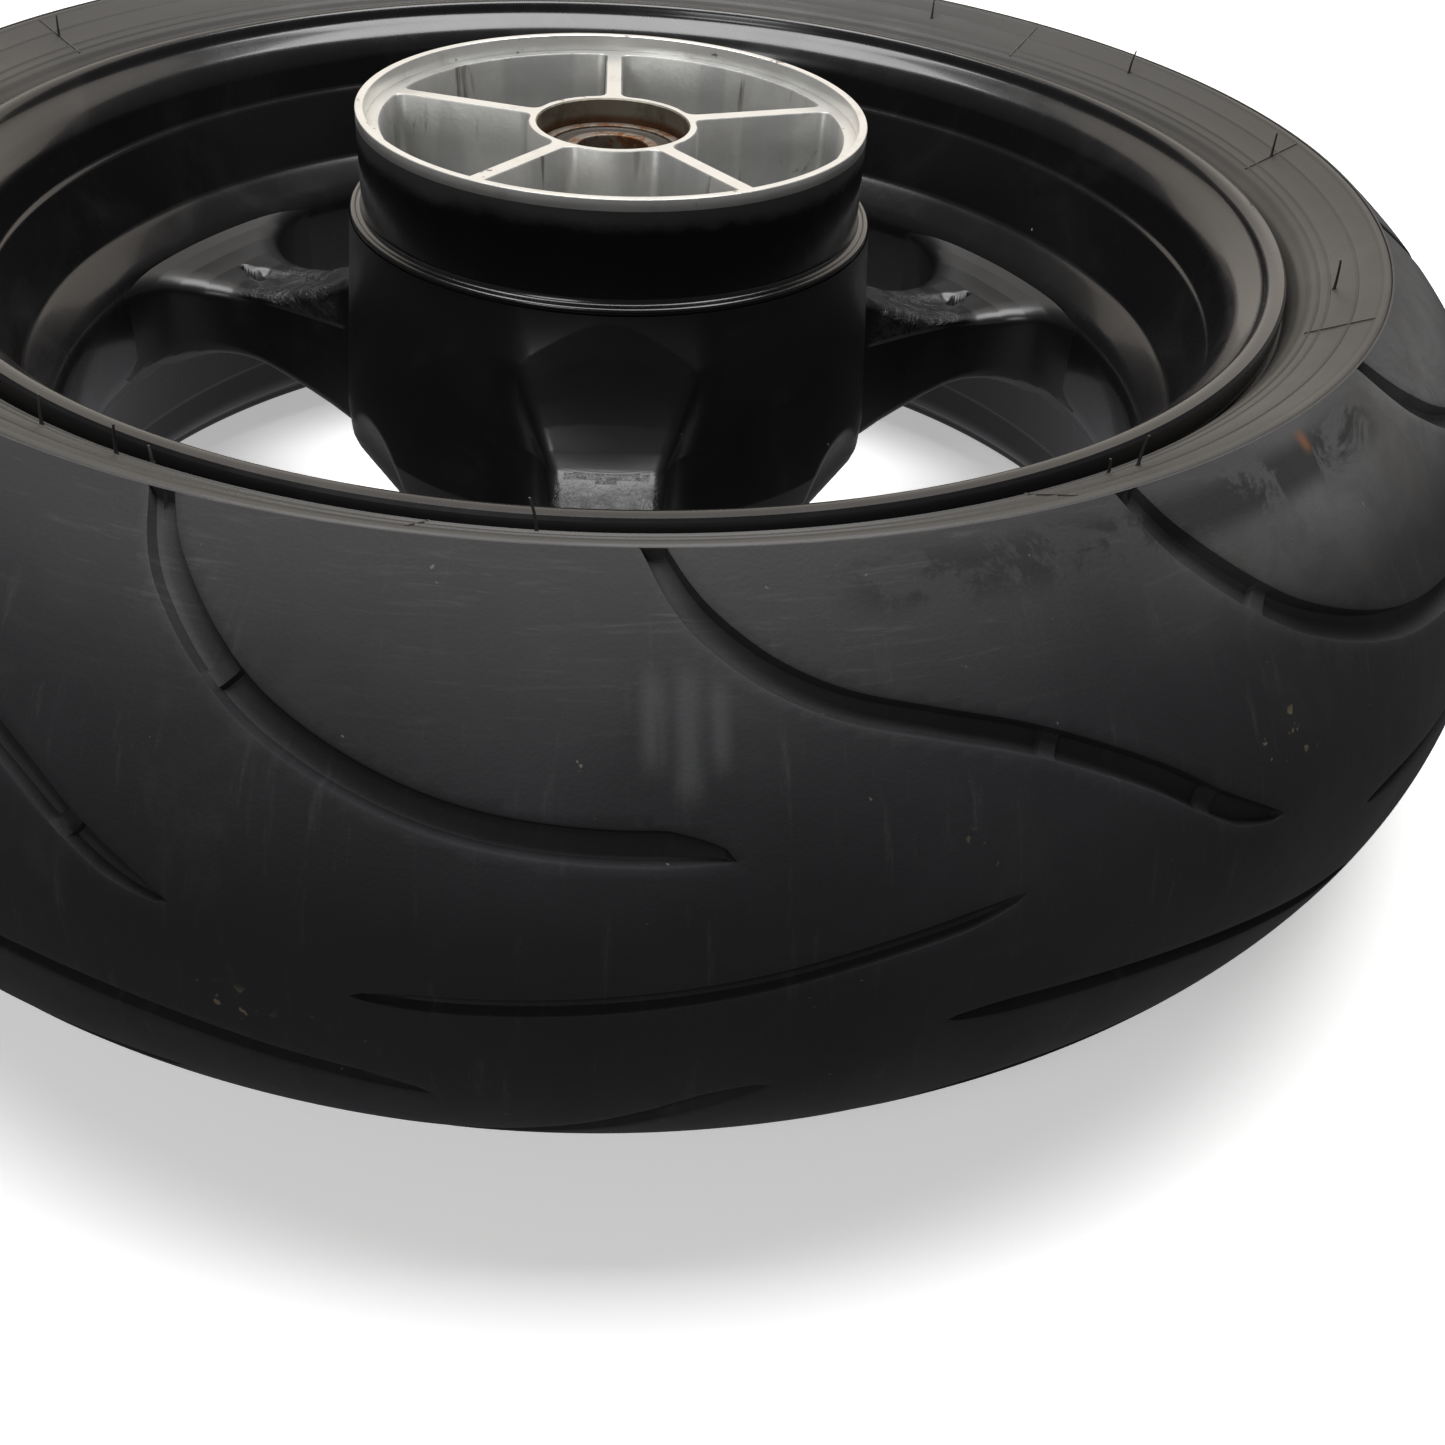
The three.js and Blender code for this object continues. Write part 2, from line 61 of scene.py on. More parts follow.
def add_camera():
    ahead = (Vector(AIM) - Vector(EYE)).normalized()
    right = Vector((1, 0, 0))
    up = right.cross(ahead)
    ahead, right = (ahead * math.cos(TURN) + right * math.sin(TURN),
                    right * math.cos(TURN) - ahead * math.sin(TURN))
    ahead, up = (ahead * math.cos(TILT) + up * math.sin(TILT),
                 up * math.cos(TILT) - ahead * math.sin(TILT))
    right, up = (right * math.cos(ROLL) + up * math.sin(ROLL),
                 up * math.cos(ROLL) - right * math.sin(ROLL))
    data = bpy.data.cameras.new("camera")
    data.lens = LENS
    data.sensor_width = 36
    data.shift_x = SHIFT_X
    data.clip_start = 0.01
    camera = bpy.data.objects.new("camera", data)
    camera.matrix_world = Matrix.Translation(EYE) @ Matrix((right, up, -ahead)).transposed().to_4x4()
    bpy.context.scene.collection.objects.link(camera)
    bpy.context.scene.camera = camera


def add_light(name, place, aim, size, power, colour):
    data = bpy.data.lights.new(name, "AREA")
    data.shape = "RECTANGLE"
    data.size, data.size_y = size
    data.energy = power
    data.color = colour
    lamp = bpy.data.objects.new(name, data)
    lamp.location = place
    lamp.rotation_euler = (Vector(aim) - Vector(place)).to_track_quat("-Z", "Y").to_euler()
    bpy.context.scene.collection.objects.link(lamp)


# Softboxes: name, place, aim, size, power and colour.
SOFTBOXES = (
    ("key_over", (0.0, 0.2, 2.1), (0, 0, 0.1), (2.2, 1.2), 66, (1, 1, 1)),
    ("front_fill", (-0.9, -1.8, 1.5), (0, 0, 0.1), (0.8, 0.6), 10, (1, 1, 1)),
    ("far_wall", (0.2, 3.2, 2.0), (0, 0, 0.3), (6.5, 3.8), 66, (1.0, 0.91, 0.8)),
)
FLOOR_REACH = 14.0
FLOOR_ROUGHNESS = 0.9


def add_floor(name, z, material_name, colour, glow, strength):
    shader = Shader(material_name, colour, FLOOR_ROUGHNESS)
    shader.set("Emission Color", (*glow, 1)).set("Emission Strength", strength)
    mesh = bpy.data.meshes.new(name)
    corners = [(x * FLOOR_REACH, y * FLOOR_REACH, 0) for x, y in ((-1, -1), (1, -1), (1, 1), (-1, 1))]
    mesh.from_pydata(corners, [], [(0, 1, 2, 3)])
    mesh.materials.append(shader.material)
    floor = bpy.data.objects.new(name, mesh)
    floor.location.z = z
    bpy.context.scene.collection.objects.link(floor)
    return floor


def add_studio():
    for softbox in SOFTBOXES:
        add_light(*softbox)
    world = bpy.data.worlds.new("studio")
    world.use_nodes = True
    world.node_tree.nodes["Background"].inputs["Color"].default_value = (1.0, 0.97, 0.93, 1)
    world.node_tree.nodes["Background"].inputs["Strength"].default_value = 0.1
    bpy.context.scene.world = world
    bpy.context.scene.view_settings.view_transform = "Standard"
    # The camera sees the white floor. The wheel is lit by the greyer one just under it.
    white = add_floor("studio_floor", -0.0004, "floor_white", (0.93, 0.93, 0.93), (1, 1, 1), 0.42)
    white.visible_diffuse = white.visible_glossy = False
    grey = add_floor("studio_bounce", -0.001, "floor_grey", (0.34, 0.34, 0.37), (0.96, 0.96, 1.0), 0.19)
    grey.visible_camera = False


# ---------------------------------------------------------------- materials

class Shader:
    """A Principled material built a few named nodes at a time."""

    def __init__(self, name, colour, roughness, metallic=0.0):
        self.material = bpy.data.materials.new(name)
        self.material.use_nodes = True
        self.tree = self.material.node_tree
        self.main = self.tree.nodes["Principled BSDF"]
        self.main.inputs["Base Color"].default_value = (*colour, 1)
        self.main.inputs["Roughness"].default_value = roughness
        self.main.inputs["Metallic"].default_value = metallic
        self.place = self.tree.nodes.new("ShaderNodeTexCoord")

    def set(self, socket, value):
        self.main.inputs[socket].default_value = value
        return self

    def link(self, source, node, socket):
        self.tree.links.new(source, node.inputs[socket])

    def scaled(self, scale, coord="Object"):
        node = self.tree.nodes.new("ShaderNodeMapping")
        node.inputs["Scale"].default_value = scale
        self.link(self.place.outputs[coord], node, "Vector")
        return node.outputs["Vector"]

    def noise(self, scale, detail=4.0, rough=0.55, stretch=(1, 1, 1), coord="Object", warp=0.0):
        node = self.tree.nodes.new("ShaderNodeTexNoise")
        node.inputs["Scale"].default_value = scale
        node.inputs["Detail"].default_value = detail
        node.inputs["Roughness"].default_value = rough
        node.inputs["Distortion"].default_value = warp
        self.link(self.scaled(stretch, coord), node, "Vector")
        return node.outputs["Fac"]

    def axis(self, name, coord="Object"):
        node = self.tree.nodes.new("ShaderNodeSeparateXYZ")
        self.link(self.place.outputs[coord], node, "Vector")
        return node.outputs[name]

    def radius(self):
        node = self.tree.nodes.new("ShaderNodeVectorMath")
        node.operation = "LENGTH"
        self.link(self.scaled((1, 1, 0)), node, 0)
        return node.outputs["Value"]

    def math(self, kind, a, b=0.0):
        node = self.tree.nodes.new("ShaderNodeMath")
        node.operation = kind
        node.use_clamp = kind == "MULTIPLY"
        for slot, value in enumerate((a, b)):
            if isinstance(value, (int, float)):
                node.inputs[slot].default_value = value
            else:
                self.link(value, node, slot)
        return node.outputs["Value"]

    def times(self, a, b):
        return self.math("MULTIPLY", a, b)

    def band(self, value, low, high, out_low=0.0, out_high=1.0):
        """The value eased from one level to the other between low and high."""
        node = self.tree.nodes.new("ShaderNodeMapRange")
        node.interpolation_type = "SMOOTHSTEP"
        ends = {"From Min": low, "From Max": high, "To Min": out_low, "To Max": out_high}
        for name, number in ends.items():
            node.inputs[name].default_value = number
        self.link(value, node, "Value")
        return node.outputs["Result"]

    def patch(self, around, across, blur=(0.002, 0.003)):
        """A soft-edged patch of the tread: degrees round the wheel, and millimetres from the crown."""
        turn = [((a - FIRST_REPEAT) % 360) / 360 for a in around]
        run = [a * MM for a in across]
        mask = 1.0
        for axis, (low, high), edge in (("X", turn, blur[0]), ("Y", run, blur[1])):
            place = self.axis(axis, "UV")
            for outside, inside in ((low - edge, low + edge), (high + edge, high - edge)):
                mask = self.times(mask, self.band(place, outside, inside))
        return mask

    def tint(self, amount, colour):
        """Lays a colour over the base colour, as much as the amount says."""
        factor, under, over, mixed = 0, 6, 7, 2
        node = self.tree.nodes.new("ShaderNodeMix")
        node.data_type = "RGBA"
        base = self.main.inputs["Base Color"]
        node.inputs[under].default_value = base.default_value
        if base.is_linked:
            self.link(base.links[0].from_socket, node, under)
        node.inputs[over].default_value = (*colour, 1)
        self.link(amount, node, factor)
        self.tree.links.new(node.outputs[mixed], base)

    def stain(self, value, low, high, amount, colour):
        """Lays a colour where the value is high, up to the amount."""
        self.tint(self.band(value, low, high, 0, amount), colour)

    def mottled_patch(self, mottle, place, levels, colour):
        self.tint(self.times(self.patch(*place), self.band(mottle, *levels)), colour)

    def vary(self, socket, amount, low, high):
        """Drives a socket between two levels."""
        node = self.tree.nodes.new("ShaderNodeMapRange")
        node.inputs["To Min"].default_value = low
        node.inputs["To Max"].default_value = high
        self.link(amount, node, "Value")
        self.tree.links.new(node.outputs["Result"], self.main.inputs[socket])

    def bump(self, height, strength, distance):
        node = self.tree.nodes.new("ShaderNodeBump")
        node.inputs["Strength"].default_value = strength
        node.inputs["Distance"].default_value = distance
        self.link(height, node, "Height")
        normal = self.main.inputs["Normal"]
        if normal.is_linked:
            self.link(normal.links[0].from_socket, node, "Normal")
        self.tree.links.new(node.outputs["Normal"], normal)


# Marks on the tread: degrees round the wheel, and millimetres from the crown.
SMUDGES = (((271.7, 272.8), (68, 88)), ((273.2, 274.3), (61, 89)), ((274.7, 275.5), (68, 87)))
SPECK_PATCHES = (((301.5, 305.5), (39, 52)), ((281.5, 283.5), (43, 50)), ((285.5, 288), (38, 46)),
                 ((252, 256), (-8, 2)))
STAIN = ((312.9, 313.6), (108.5, 114))
# Broad patches: the same with how soft the edges are, then the mottling's levels, then the colour.
PALE_RIGHT = (((304, 350), (84, 118), (0.03, 0.02)), (0.3, 0.7, 0.45, 0.95), (0.1, 0.1, 0.1))
PALE_LEFT = (((225, 262), (70, 116), (0.02, 0.014)), (0.3, 0.7, 0.2, 0.6), (0.06, 0.061, 0.064))
DARK_BAND = (((282, 321), (100, 113), (0.006, 0.004)), (0.42, 0.5, 0.1, 0.85), (0.012, 0.012, 0.012))


def tread_material():
    shader = Shader("tread_rubber", (0.0135, 0.0137, 0.0153), 0.58)
    shader.set("Specular IOR Level", 0.25)
    run = shader.axis("Y", "UV")
    shader.stain(shader.noise(7, 5, 0.6), 0.42, 0.72, 0.7, (0.024, 0.0245, 0.027))
    # Painted sheen: the upper shoulder, which faces the softbox overhead, is painted greyer, and scuffs are
    # laid over it.
    ragged_run = shader.math("ADD", run, shader.times(shader.noise(11, 6, 0.65), 0.05))
    shoulder = shader.band(ragged_run, 0.085, 0.14)
    shader.tint(shader.times(shoulder, 0.6), (0.045, 0.045, 0.047))
    mottle = shader.noise(34, 7, 0.7, warp=0.7)
    scuffs = shader.noise(1, 5, 0.7, (420, 26, 1), "UV")
    rubs = shader.noise(1, 4, 0.7, (60, 420, 1), "UV", 0.6)
    for pale in (PALE_RIGHT, PALE_LEFT):
        shader.mottled_patch(mottle, *pale)
    shader.stain(scuffs, 0.55, 0.8, 0.5, (0.052, 0.052, 0.054))
    # Lighter scuffs, laid only inside the painted sheen on the upper shoulder.
    shader.tint(shader.times(shoulder, shader.band(rubs, 0.52, 0.78, 0, 0.6)), (0.075, 0.07, 0.064))
    shader.mottled_patch(mottle, *DARK_BAND)
    shader.stain(shader.noise(16, 6, 0.65, warp=0.4), 0.56, 0.76, 0.4, (0.046, 0.042, 0.032))
    for around, across in SMUDGES:
        mark = shader.patch(around, across, (0.0011, 0.005))
        shader.tint(shader.times(mark, shader.band(scuffs, 0.25, 0.6, 0.3, 0.7)), (0.056, 0.057, 0.059))
    shader.stain(shader.noise(300, 2, 0.5), 0.76, 0.8, 0.7, (0.16, 0.14, 0.11))
    clustered = shader.band(shader.noise(210, 3, 0.5), 0.62, 0.66)
    for around, across in SPECK_PATCHES:
        shader.tint(shader.times(shader.patch(around, across), clustered), (0.14, 0.11, 0.07))
    shader.tint(shader.times(shader.patch(*STAIN, (0.001, 0.002)), 0.7), (0.16, 0.07, 0.035))
    shader.vary("Roughness", shader.noise(24, 5, 0.6), 0.48, 0.78)
    shader.bump(scuffs, 0.25, 0.0003)
    shader.bump(shader.noise(900, 3, 0.6), 0.35, 0.00025)
    return shader.material


def sidewall_material():
    shader = Shader("sidewall_rubber", (0.034, 0.032, 0.029), 0.44)
    shader.set("Specular IOR Level", 0.4)
    shader.stain(shader.noise(9, 6, 0.6, warp=0.5), 0.45, 0.75, 0.6, (0.06, 0.056, 0.049))
    shader.stain(shader.noise(3, 3, 0.6), 0.5, 0.7, 0.5, (0.02, 0.0195, 0.019))
    scrape = shader.noise(1, 5, 0.75, (40, 900, 1), "UV")
    shader.stain(scrape, 0.6, 0.85, 0.35, (0.018, 0.0175, 0.017))
    shader.vary("Roughness", shader.noise(30, 4, 0.6), 0.36, 0.6)
    shader.bump(shader.noise(700, 3, 0.6), 0.25, 0.0002)
    return shader.material


def black_paint(name, colour, roughness, gloss, coat, specular, haze_scale, haze_band, haze_colour):
    """Sprayed black paint with a film of dust and a few chips; gloss is the least and most roughness."""
    shader = Shader(name, colour, roughness)
    shader.set("Coat Weight", coat[0]).set("Coat Roughness", coat[1]).set("Specular IOR Level", specular)
    haze = shader.noise(haze_scale, 6, 0.65, warp=0.6)
    shader.stain(haze, *haze_band, 0.35, haze_colour)
    shader.vary("Roughness", haze, *gloss)
    shader.stain(shader.noise(210, 2, 0.5), 0.81, 0.83, 1, (0.4, 0.39, 0.36))
    return shader


def paint_material():
    shader = black_paint("gloss_black_paint", (0.005, 0.005, 0.0058), 0.3, (0.24, 0.5), (0.2, 0.22), 0.5,
                         38, (0.55, 0.8), (0.03, 0.028, 0.026))
    shader.bump(shader.noise(120, 3, 0.5), 0.05, 0.0004)
    # The casting skin is left rough in the troughs along the spokes.
    height, distance = shader.axis("Z"), shader.radius()
    rough = shader.times(shader.band(distance, 0.168, 0.158), shader.band(distance, 0.108, 0.122))
    rough = shader.times(rough, shader.band(height, (MID + 7) * MM, (MID + 9) * MM))
    rough = shader.times(rough, shader.noise(170, 5, 0.65, warp=0.4))
    shader.bump(rough, 0.8, 0.004)
    return shader.material


def barrel_paint_material():
    """The same black paint under a film of dust, glossier than on the spokes."""
    shader = black_paint("barrel_paint", (0.0055, 0.0055, 0.0065), 0.2, (0.14, 0.4), (0.35, 0.1), 0.45,
                         26, (0.5, 0.8), (0.03, 0.028, 0.027))
    return shader.material


def hub_paint_material():
    """Black paint that is rubbed grey in a ragged band under the bare edge at the top of the hub."""
    shader = Shader("hub_paint", (0.0045, 0.0045, 0.005), 0.2)
    shader.set("Coat Weight", 0.3).set("Coat Roughness", 0.1)
    height = shader.axis("Z")
    ragged = shader.math("ADD", height, shader.times(shader.noise(28, 6, 0.7), 0.011))
    top = (MID + HUB_TOP) * MM
    worn = shader.band(ragged, top - 0.0065, top + 0.0005)
    shader.tint(shader.times(worn, 0.75), (0.04, 0.041, 0.043))
    smears = shader.noise(60, 6, 0.7, (1, 1, 0.6), warp=0.8)
    shader.stain(smears, 0.62, 0.74, 0.35, (0.05, 0.05, 0.05))
    shader.tint(shader.band(height, top - 0.0010, top - 0.0004), (0.62, 0.62, 0.6))
    shader.vary("Roughness", worn, 0.2, 0.6)
    shader.bump(shader.noise(300, 4, 0.6), 0.08, 0.0003)
    return shader.material


def machined_material():
    shader = Shader("machined_aluminium", (0.78, 0.78, 0.76), 0.3, 0.85)
    shader.stain(shader.noise(50, 5, 0.7), 0.55, 0.7, 0.4, (0.5, 0.49, 0.46))
    shader.stain(shader.noise(120, 3, 0.6), 0.66, 0.72, 0.8, (0.12, 0.11, 0.1))
    shader.vary("Roughness", shader.noise(90, 4, 0.6), 0.24, 0.46)
    shader.bump(shader.noise(1, 2, 0.5, (60, 60, 60)), 0.1, 0.0002)
    return shader.material


def machined_bore_material():
    shader = Shader("oily_bore", (0.3, 0.29, 0.24), 0.42, 0.9)
    shader.stain(shader.noise(60, 6, 0.7), 0.45, 0.65, 0.7, (0.1, 0.085, 0.055))
    height = shader.axis("Z")
    shader.tint(shader.band(height, (MID + 100.5) * MM, (MID + 98) * MM, 0, 0.85), (0.13, 0.06, 0.03))
    shader.vary("Roughness", shader.noise(90, 5, 0.6), 0.35, 0.7)
    shader.bump(shader.noise(500, 4, 0.6), 0.2, 0.0003)
    return shader.material


def cavity_material():
    """Raw cast aluminium with dark rubber smears, streaks down the walls and dirty corners."""
    shader = Shader("raw_cast_aluminium", (0.46, 0.46, 0.445), 0.42, 0.7)
    shader.stain(shader.noise(30, 5, 0.7), 0.4, 0.75, 0.7, (0.62, 0.62, 0.59))
    panels = shader.noise(1, 2, 0.5, (34, 34, 3), warp=0.3)
    shader.stain(panels, 0.55, 0.6, 0.5, (0.34, 0.34, 0.35))
    streaks = shader.noise(1, 4, 0.6, (95, 95, 9), warp=0.4)
    shader.stain(streaks, 0.6, 0.68, 0.8, (0.13, 0.12, 0.1))
    grime = shader.noise(1, 6, 0.7, (48, 48, 22), warp=1.0)
    shader.stain(grime, 0.62, 0.74, 0.9, (0.04, 0.036, 0.03))
    shader.vary("Roughness", grime, 0.36, 0.6)
    shader.bump(shader.noise(420, 4, 0.65), 0.3, 0.0004)
    return shader.material


def bearing_material():
    shader = Shader("rusty_bearing_steel", (0.22, 0.19, 0.16), 0.45, 0.9)
    shader.stain(shader.noise(160, 6, 0.7), 0.45, 0.6, 1, (0.16, 0.07, 0.03))
    shader.stain(shader.noise(420, 4, 0.7), 0.6, 0.7, 0.7, (0.3, 0.14, 0.05))
    shader.vary("Roughness", shader.noise(200, 4, 0.6), 0.4, 0.85)
    shader.bump(shader.noise(600, 4, 0.7), 0.4, 0.0003)
    return shader.material


def plain_metal(name, colour, roughness):
    shader = Shader(name, colour, roughness, 1.0)
    dull = tuple(c * 0.55 for c in colour)
    shader.stain(shader.noise(220, 5, 0.7), 0.5, 0.75, 0.6, dull)
    shader.vary("Roughness", shader.noise(300, 4, 0.6), roughness * 0.7, roughness * 1.4)
    shader.bump(shader.noise(900, 3, 0.6), 0.15, 0.0002)
    return shader.material


def plain_rubber(name, colour=(0.02, 0.02, 0.021), roughness=0.55):
    shader = Shader(name, colour, roughness)
    grey = tuple(c * 2.2 + 0.01 for c in colour)
    shader.stain(shader.noise(140, 5, 0.7), 0.5, 0.75, 0.6, grey)
    shader.vary("Roughness", shader.noise(200, 4, 0.6), roughness * 0.8, roughness * 1.3)
    shader.bump(shader.noise(800, 3, 0.6), 0.3, 0.0002)
    return shader.material


def cord_material():
    """Parallel cords under a thin coat of rubber."""
    shader = Shader("rubbered_cord", (0.2, 0.165, 0.11), 0.75)
    cords = shader.tree.nodes.new("ShaderNodeTexWave")
    cords.inputs["Scale"].default_value = 420
    cords.inputs["Distortion"].default_value = 1.5
    shader.link(shader.scaled((1, 0.35, 1)), cords, "Vector")
    shader.tint(cords.outputs["Fac"], (0.05, 0.042, 0.034))
    shader.bump(cords.outputs["Fac"], 0.4, 0.0003)
    return shader.material


# ---------------------------------------------------------------- mesh helpers

def new_object(name, verts, faces, material, uvs=None, smooth_angle=35):
    """An object from points in millimetres; verts and faces may be numpy arrays."""
    mesh = bpy.data.meshes.new(name)
    verts = np.asarray(verts, float) * MM
    if isinstance(faces, np.ndarray):
        count, sides = faces.shape
        mesh.vertices.add(len(verts))
        mesh.vertices.foreach_set("co", verts.ravel())
        mesh.loops.add(count * sides)
        mesh.loops.foreach_set("vertex_index", faces.ravel().astype(np.int32))
        mesh.polygons.add(count)
        mesh.polygons.foreach_set("loop_start", np.arange(0, count * sides, sides, dtype=np.int32))
        mesh.update(calc_edges=True)
    else:
        mesh.from_pydata(verts.tolist(), [], faces)
    mesh.validate()
    if uvs is not None:
        layer = mesh.uv_layers.new(name="wrap")
        index = np.zeros(len(mesh.loops), np.int32)
        mesh.loops.foreach_get("vertex_index", index)
        layer.data.foreach_set("uv", np.asarray(uvs, float)[index].ravel())
    mesh.materials.append(material)
    mesh.polygons.foreach_set("use_smooth", np.ones(len(mesh.polygons), bool))
    mesh.set_sharp_from_angle(angle=math.radians(smooth_angle))
    obj = bpy.data.objects.new(name, mesh)
    bpy.context.scene.collection.objects.link(obj)
    return obj


def finish_piece(obj, body="wheel", nodes=()):
    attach(obj, body)
    if nodes:
        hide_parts(*nodes)


def casting_piece(obj):
    """Finishes one piece of the painted wheel casting."""
    finish_piece(obj, nodes=["wheel_casting"])


def dress(node, material):
    """Gives a CAD node that stays in view a material of its own."""
    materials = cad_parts[node].data.materials
    materials.clear()
    materials.append(material)


def grid_faces(columns, rows, wrap_rows):
    """Quads of a grid that closes on itself along its columns, and along its rows if asked."""
    c = np.arange(columns)[:, None]
    r = np.arange(rows if wrap_rows else rows - 1)[None, :]
    a = c * rows + r
    b = ((c + 1) % columns) * rows + r
    b2 = ((c + 1) % columns) * rows + (r + 1) % rows
    a2 = c * rows + (r + 1) % rows
    return np.stack([a, b, b2, a2], -1).reshape(-1, 4)


def turned(name, outline, material, segments=240, closed=True, smooth_angle=35):
    """A lathe about the spin axis of an outline of (radius, w), run anticlockwise with r to the right."""
    outline = np.asarray(outline, float)
    angle = np.linspace(0, 2 * math.pi, segments, endpoint=False)
    r, w = outline[None, :, 0], outline[None, :, 1]
    x, y = r * np.cos(angle)[:, None], r * np.sin(angle)[:, None]
    verts = np.stack([x, y, np.broadcast_to(w + MID, x.shape)], -1).reshape(-1, 3)
    rows = len(outline)
    run = np.r_[0, np.cumsum(np.hypot(*np.diff(outline, axis=0).T))]
    uvs = np.stack(np.broadcast_arrays(angle[:, None] / (2 * math.pi), run[None, :] * MM), -1)
    uvs = uvs.reshape(-1, 2)
    return new_object(name, verts, grid_faces(segments, rows, closed), material, uvs, smooth_angle)


def eased(points, radius=1.0, steps=4):
    """The closed outline with each corner cut by a small arc."""
    out = []
    count = len(points)
    for i, point in enumerate(points):
        here = np.array(point[:2], float)
        before, after = (np.array(points[(i + d) % count][:2], float) for d in (-1, 1))
        size = point[2] if len(point) > 2 else radius
        a, b = before - here, after - here
        la, lb = np.hypot(*a), np.hypot(*b)
        reach = min(size, 0.45 * la, 0.45 * lb)
        if reach < 0.02:
            out.append(here)
            continue
        start, end = here + a / la * reach, here + b / lb * reach
        for t in np.linspace(0, 1, steps + 1):
            out.append((1 - t) ** 2 * start + 2 * t * (1 - t) * here + t * t * end)
    return np.array(out)


def smooth_curve(points, count):
    """Catmull-Rom through the points."""
    p = np.asarray(points, float)
    p = np.vstack([2 * p[0] - p[1], p, 2 * p[-1] - p[-2]])
    out = []
    for t in np.linspace(0, len(p) - 3 - 1e-9, count):
        i = int(t)
        f = t - i
        a, b, c, d = p[i:i + 4]
        out.append(0.5 * (2 * b + (c - a) * f + (2 * a - 5 * b + 4 * c - d) * f ** 2
                          + (3 * b - a - 3 * c + d) * f ** 3))
    return np.array(out)


# ---------------------------------------------------------------- tyre tread

# The tread's section: radius at the crown and at the edge, half the width, and the curve between.
CROWN, EDGE, HALF, POWER = 319.5, 262.5, 97.0, 2.3
# The pattern is drawn flat, once, as it would be at one radius; the first copy starts at a bearing.
REPEATS = 7
FIRST_REPEAT = 247.4
FLAT_RADIUS = 290.0
PERIOD = 2 * math.pi / REPEATS * FLAT_RADIUS
# The grid of points between the grooves, and how far from a groove they stop.
COLUMNS = 66
ROWS = 92
GRID_GAP = 0.9

# Groove routes: degrees from the start of a repeat and millimetres round the section from the crown.
# Bars are the wear bars, by how far from the crown the route is there; tip leans the point to one side.
GROOVES = (
    {"width": 8.6, "bars": (80,), "depth": 4.4, "tip": -0.8,
     "route": ((-0.9, 125), (0.0, 116), (1.0, 106), (2.3, 97), (4.9, 83.5), (8.0, 71.5), (12.6, 60.2),
               (17.2, 53.2), (22.5, 50.0), (28.3, 49.6))},
    {"width": 7.4, "bars": (63, 37), "depth": 4.3, "tip": 0.8,
     "route": ((24.1, 125), (25.1, 116), (26.2, 106.5), (27.6, 98), (30.2, 87.5), (33.4, 79.3),
               (37.4, 73), (41.4, 66.3), (44.8, 58.2), (48.4, 47.5), (51.7, 35.2), (55.8, 21.5))},
    {"width": 5.4, "bars": (), "depth": 3.8, "tip": 0.7,
     "route": ((12.4, 7.0), (17.5, 7.3), (23, 9.3), (29, 13.6), (35, 20.2), (41.2, 26.8))},
)
# The groove's section: share of its half width, and share of its depth there.
GROOVE_SECTION = ((1.0, 0.05), (0.93, 0.3), (0.74, 0.82), (0.55, 0.95), (0.3, 1.0))
EDGE_ROUNDING = 0.55
BAR_DEPTH = 2.7
BAR_HALF = 2.4
# Distance between the stations along a groove, and over how far its ends widen or narrow.
STATION = 2.3
OPENING_RUN, POINTED_RUN, CLOSING_RUN = 30, 16, 15


def tread_radius(w):
    return CROWN - (CROWN - EDGE) * (np.abs(w) / HALF) ** POWER


def tread_slope(w):
    return np.sign(w) * (CROWN - EDGE) * POWER * (np.abs(w) / HALF) ** (POWER - 1) / HALF


HEIGHTS = np.linspace(0, HALF, 800)
RUNS = np.r_[0, np.cumsum(np.hypot(np.diff(HEIGHTS), np.diff(tread_radius(HEIGHTS))))]
SECTION = float(RUNS[-1])


def height_at(run):
    return np.sign(run) * np.interp(np.abs(run), RUNS, HEIGHTS)


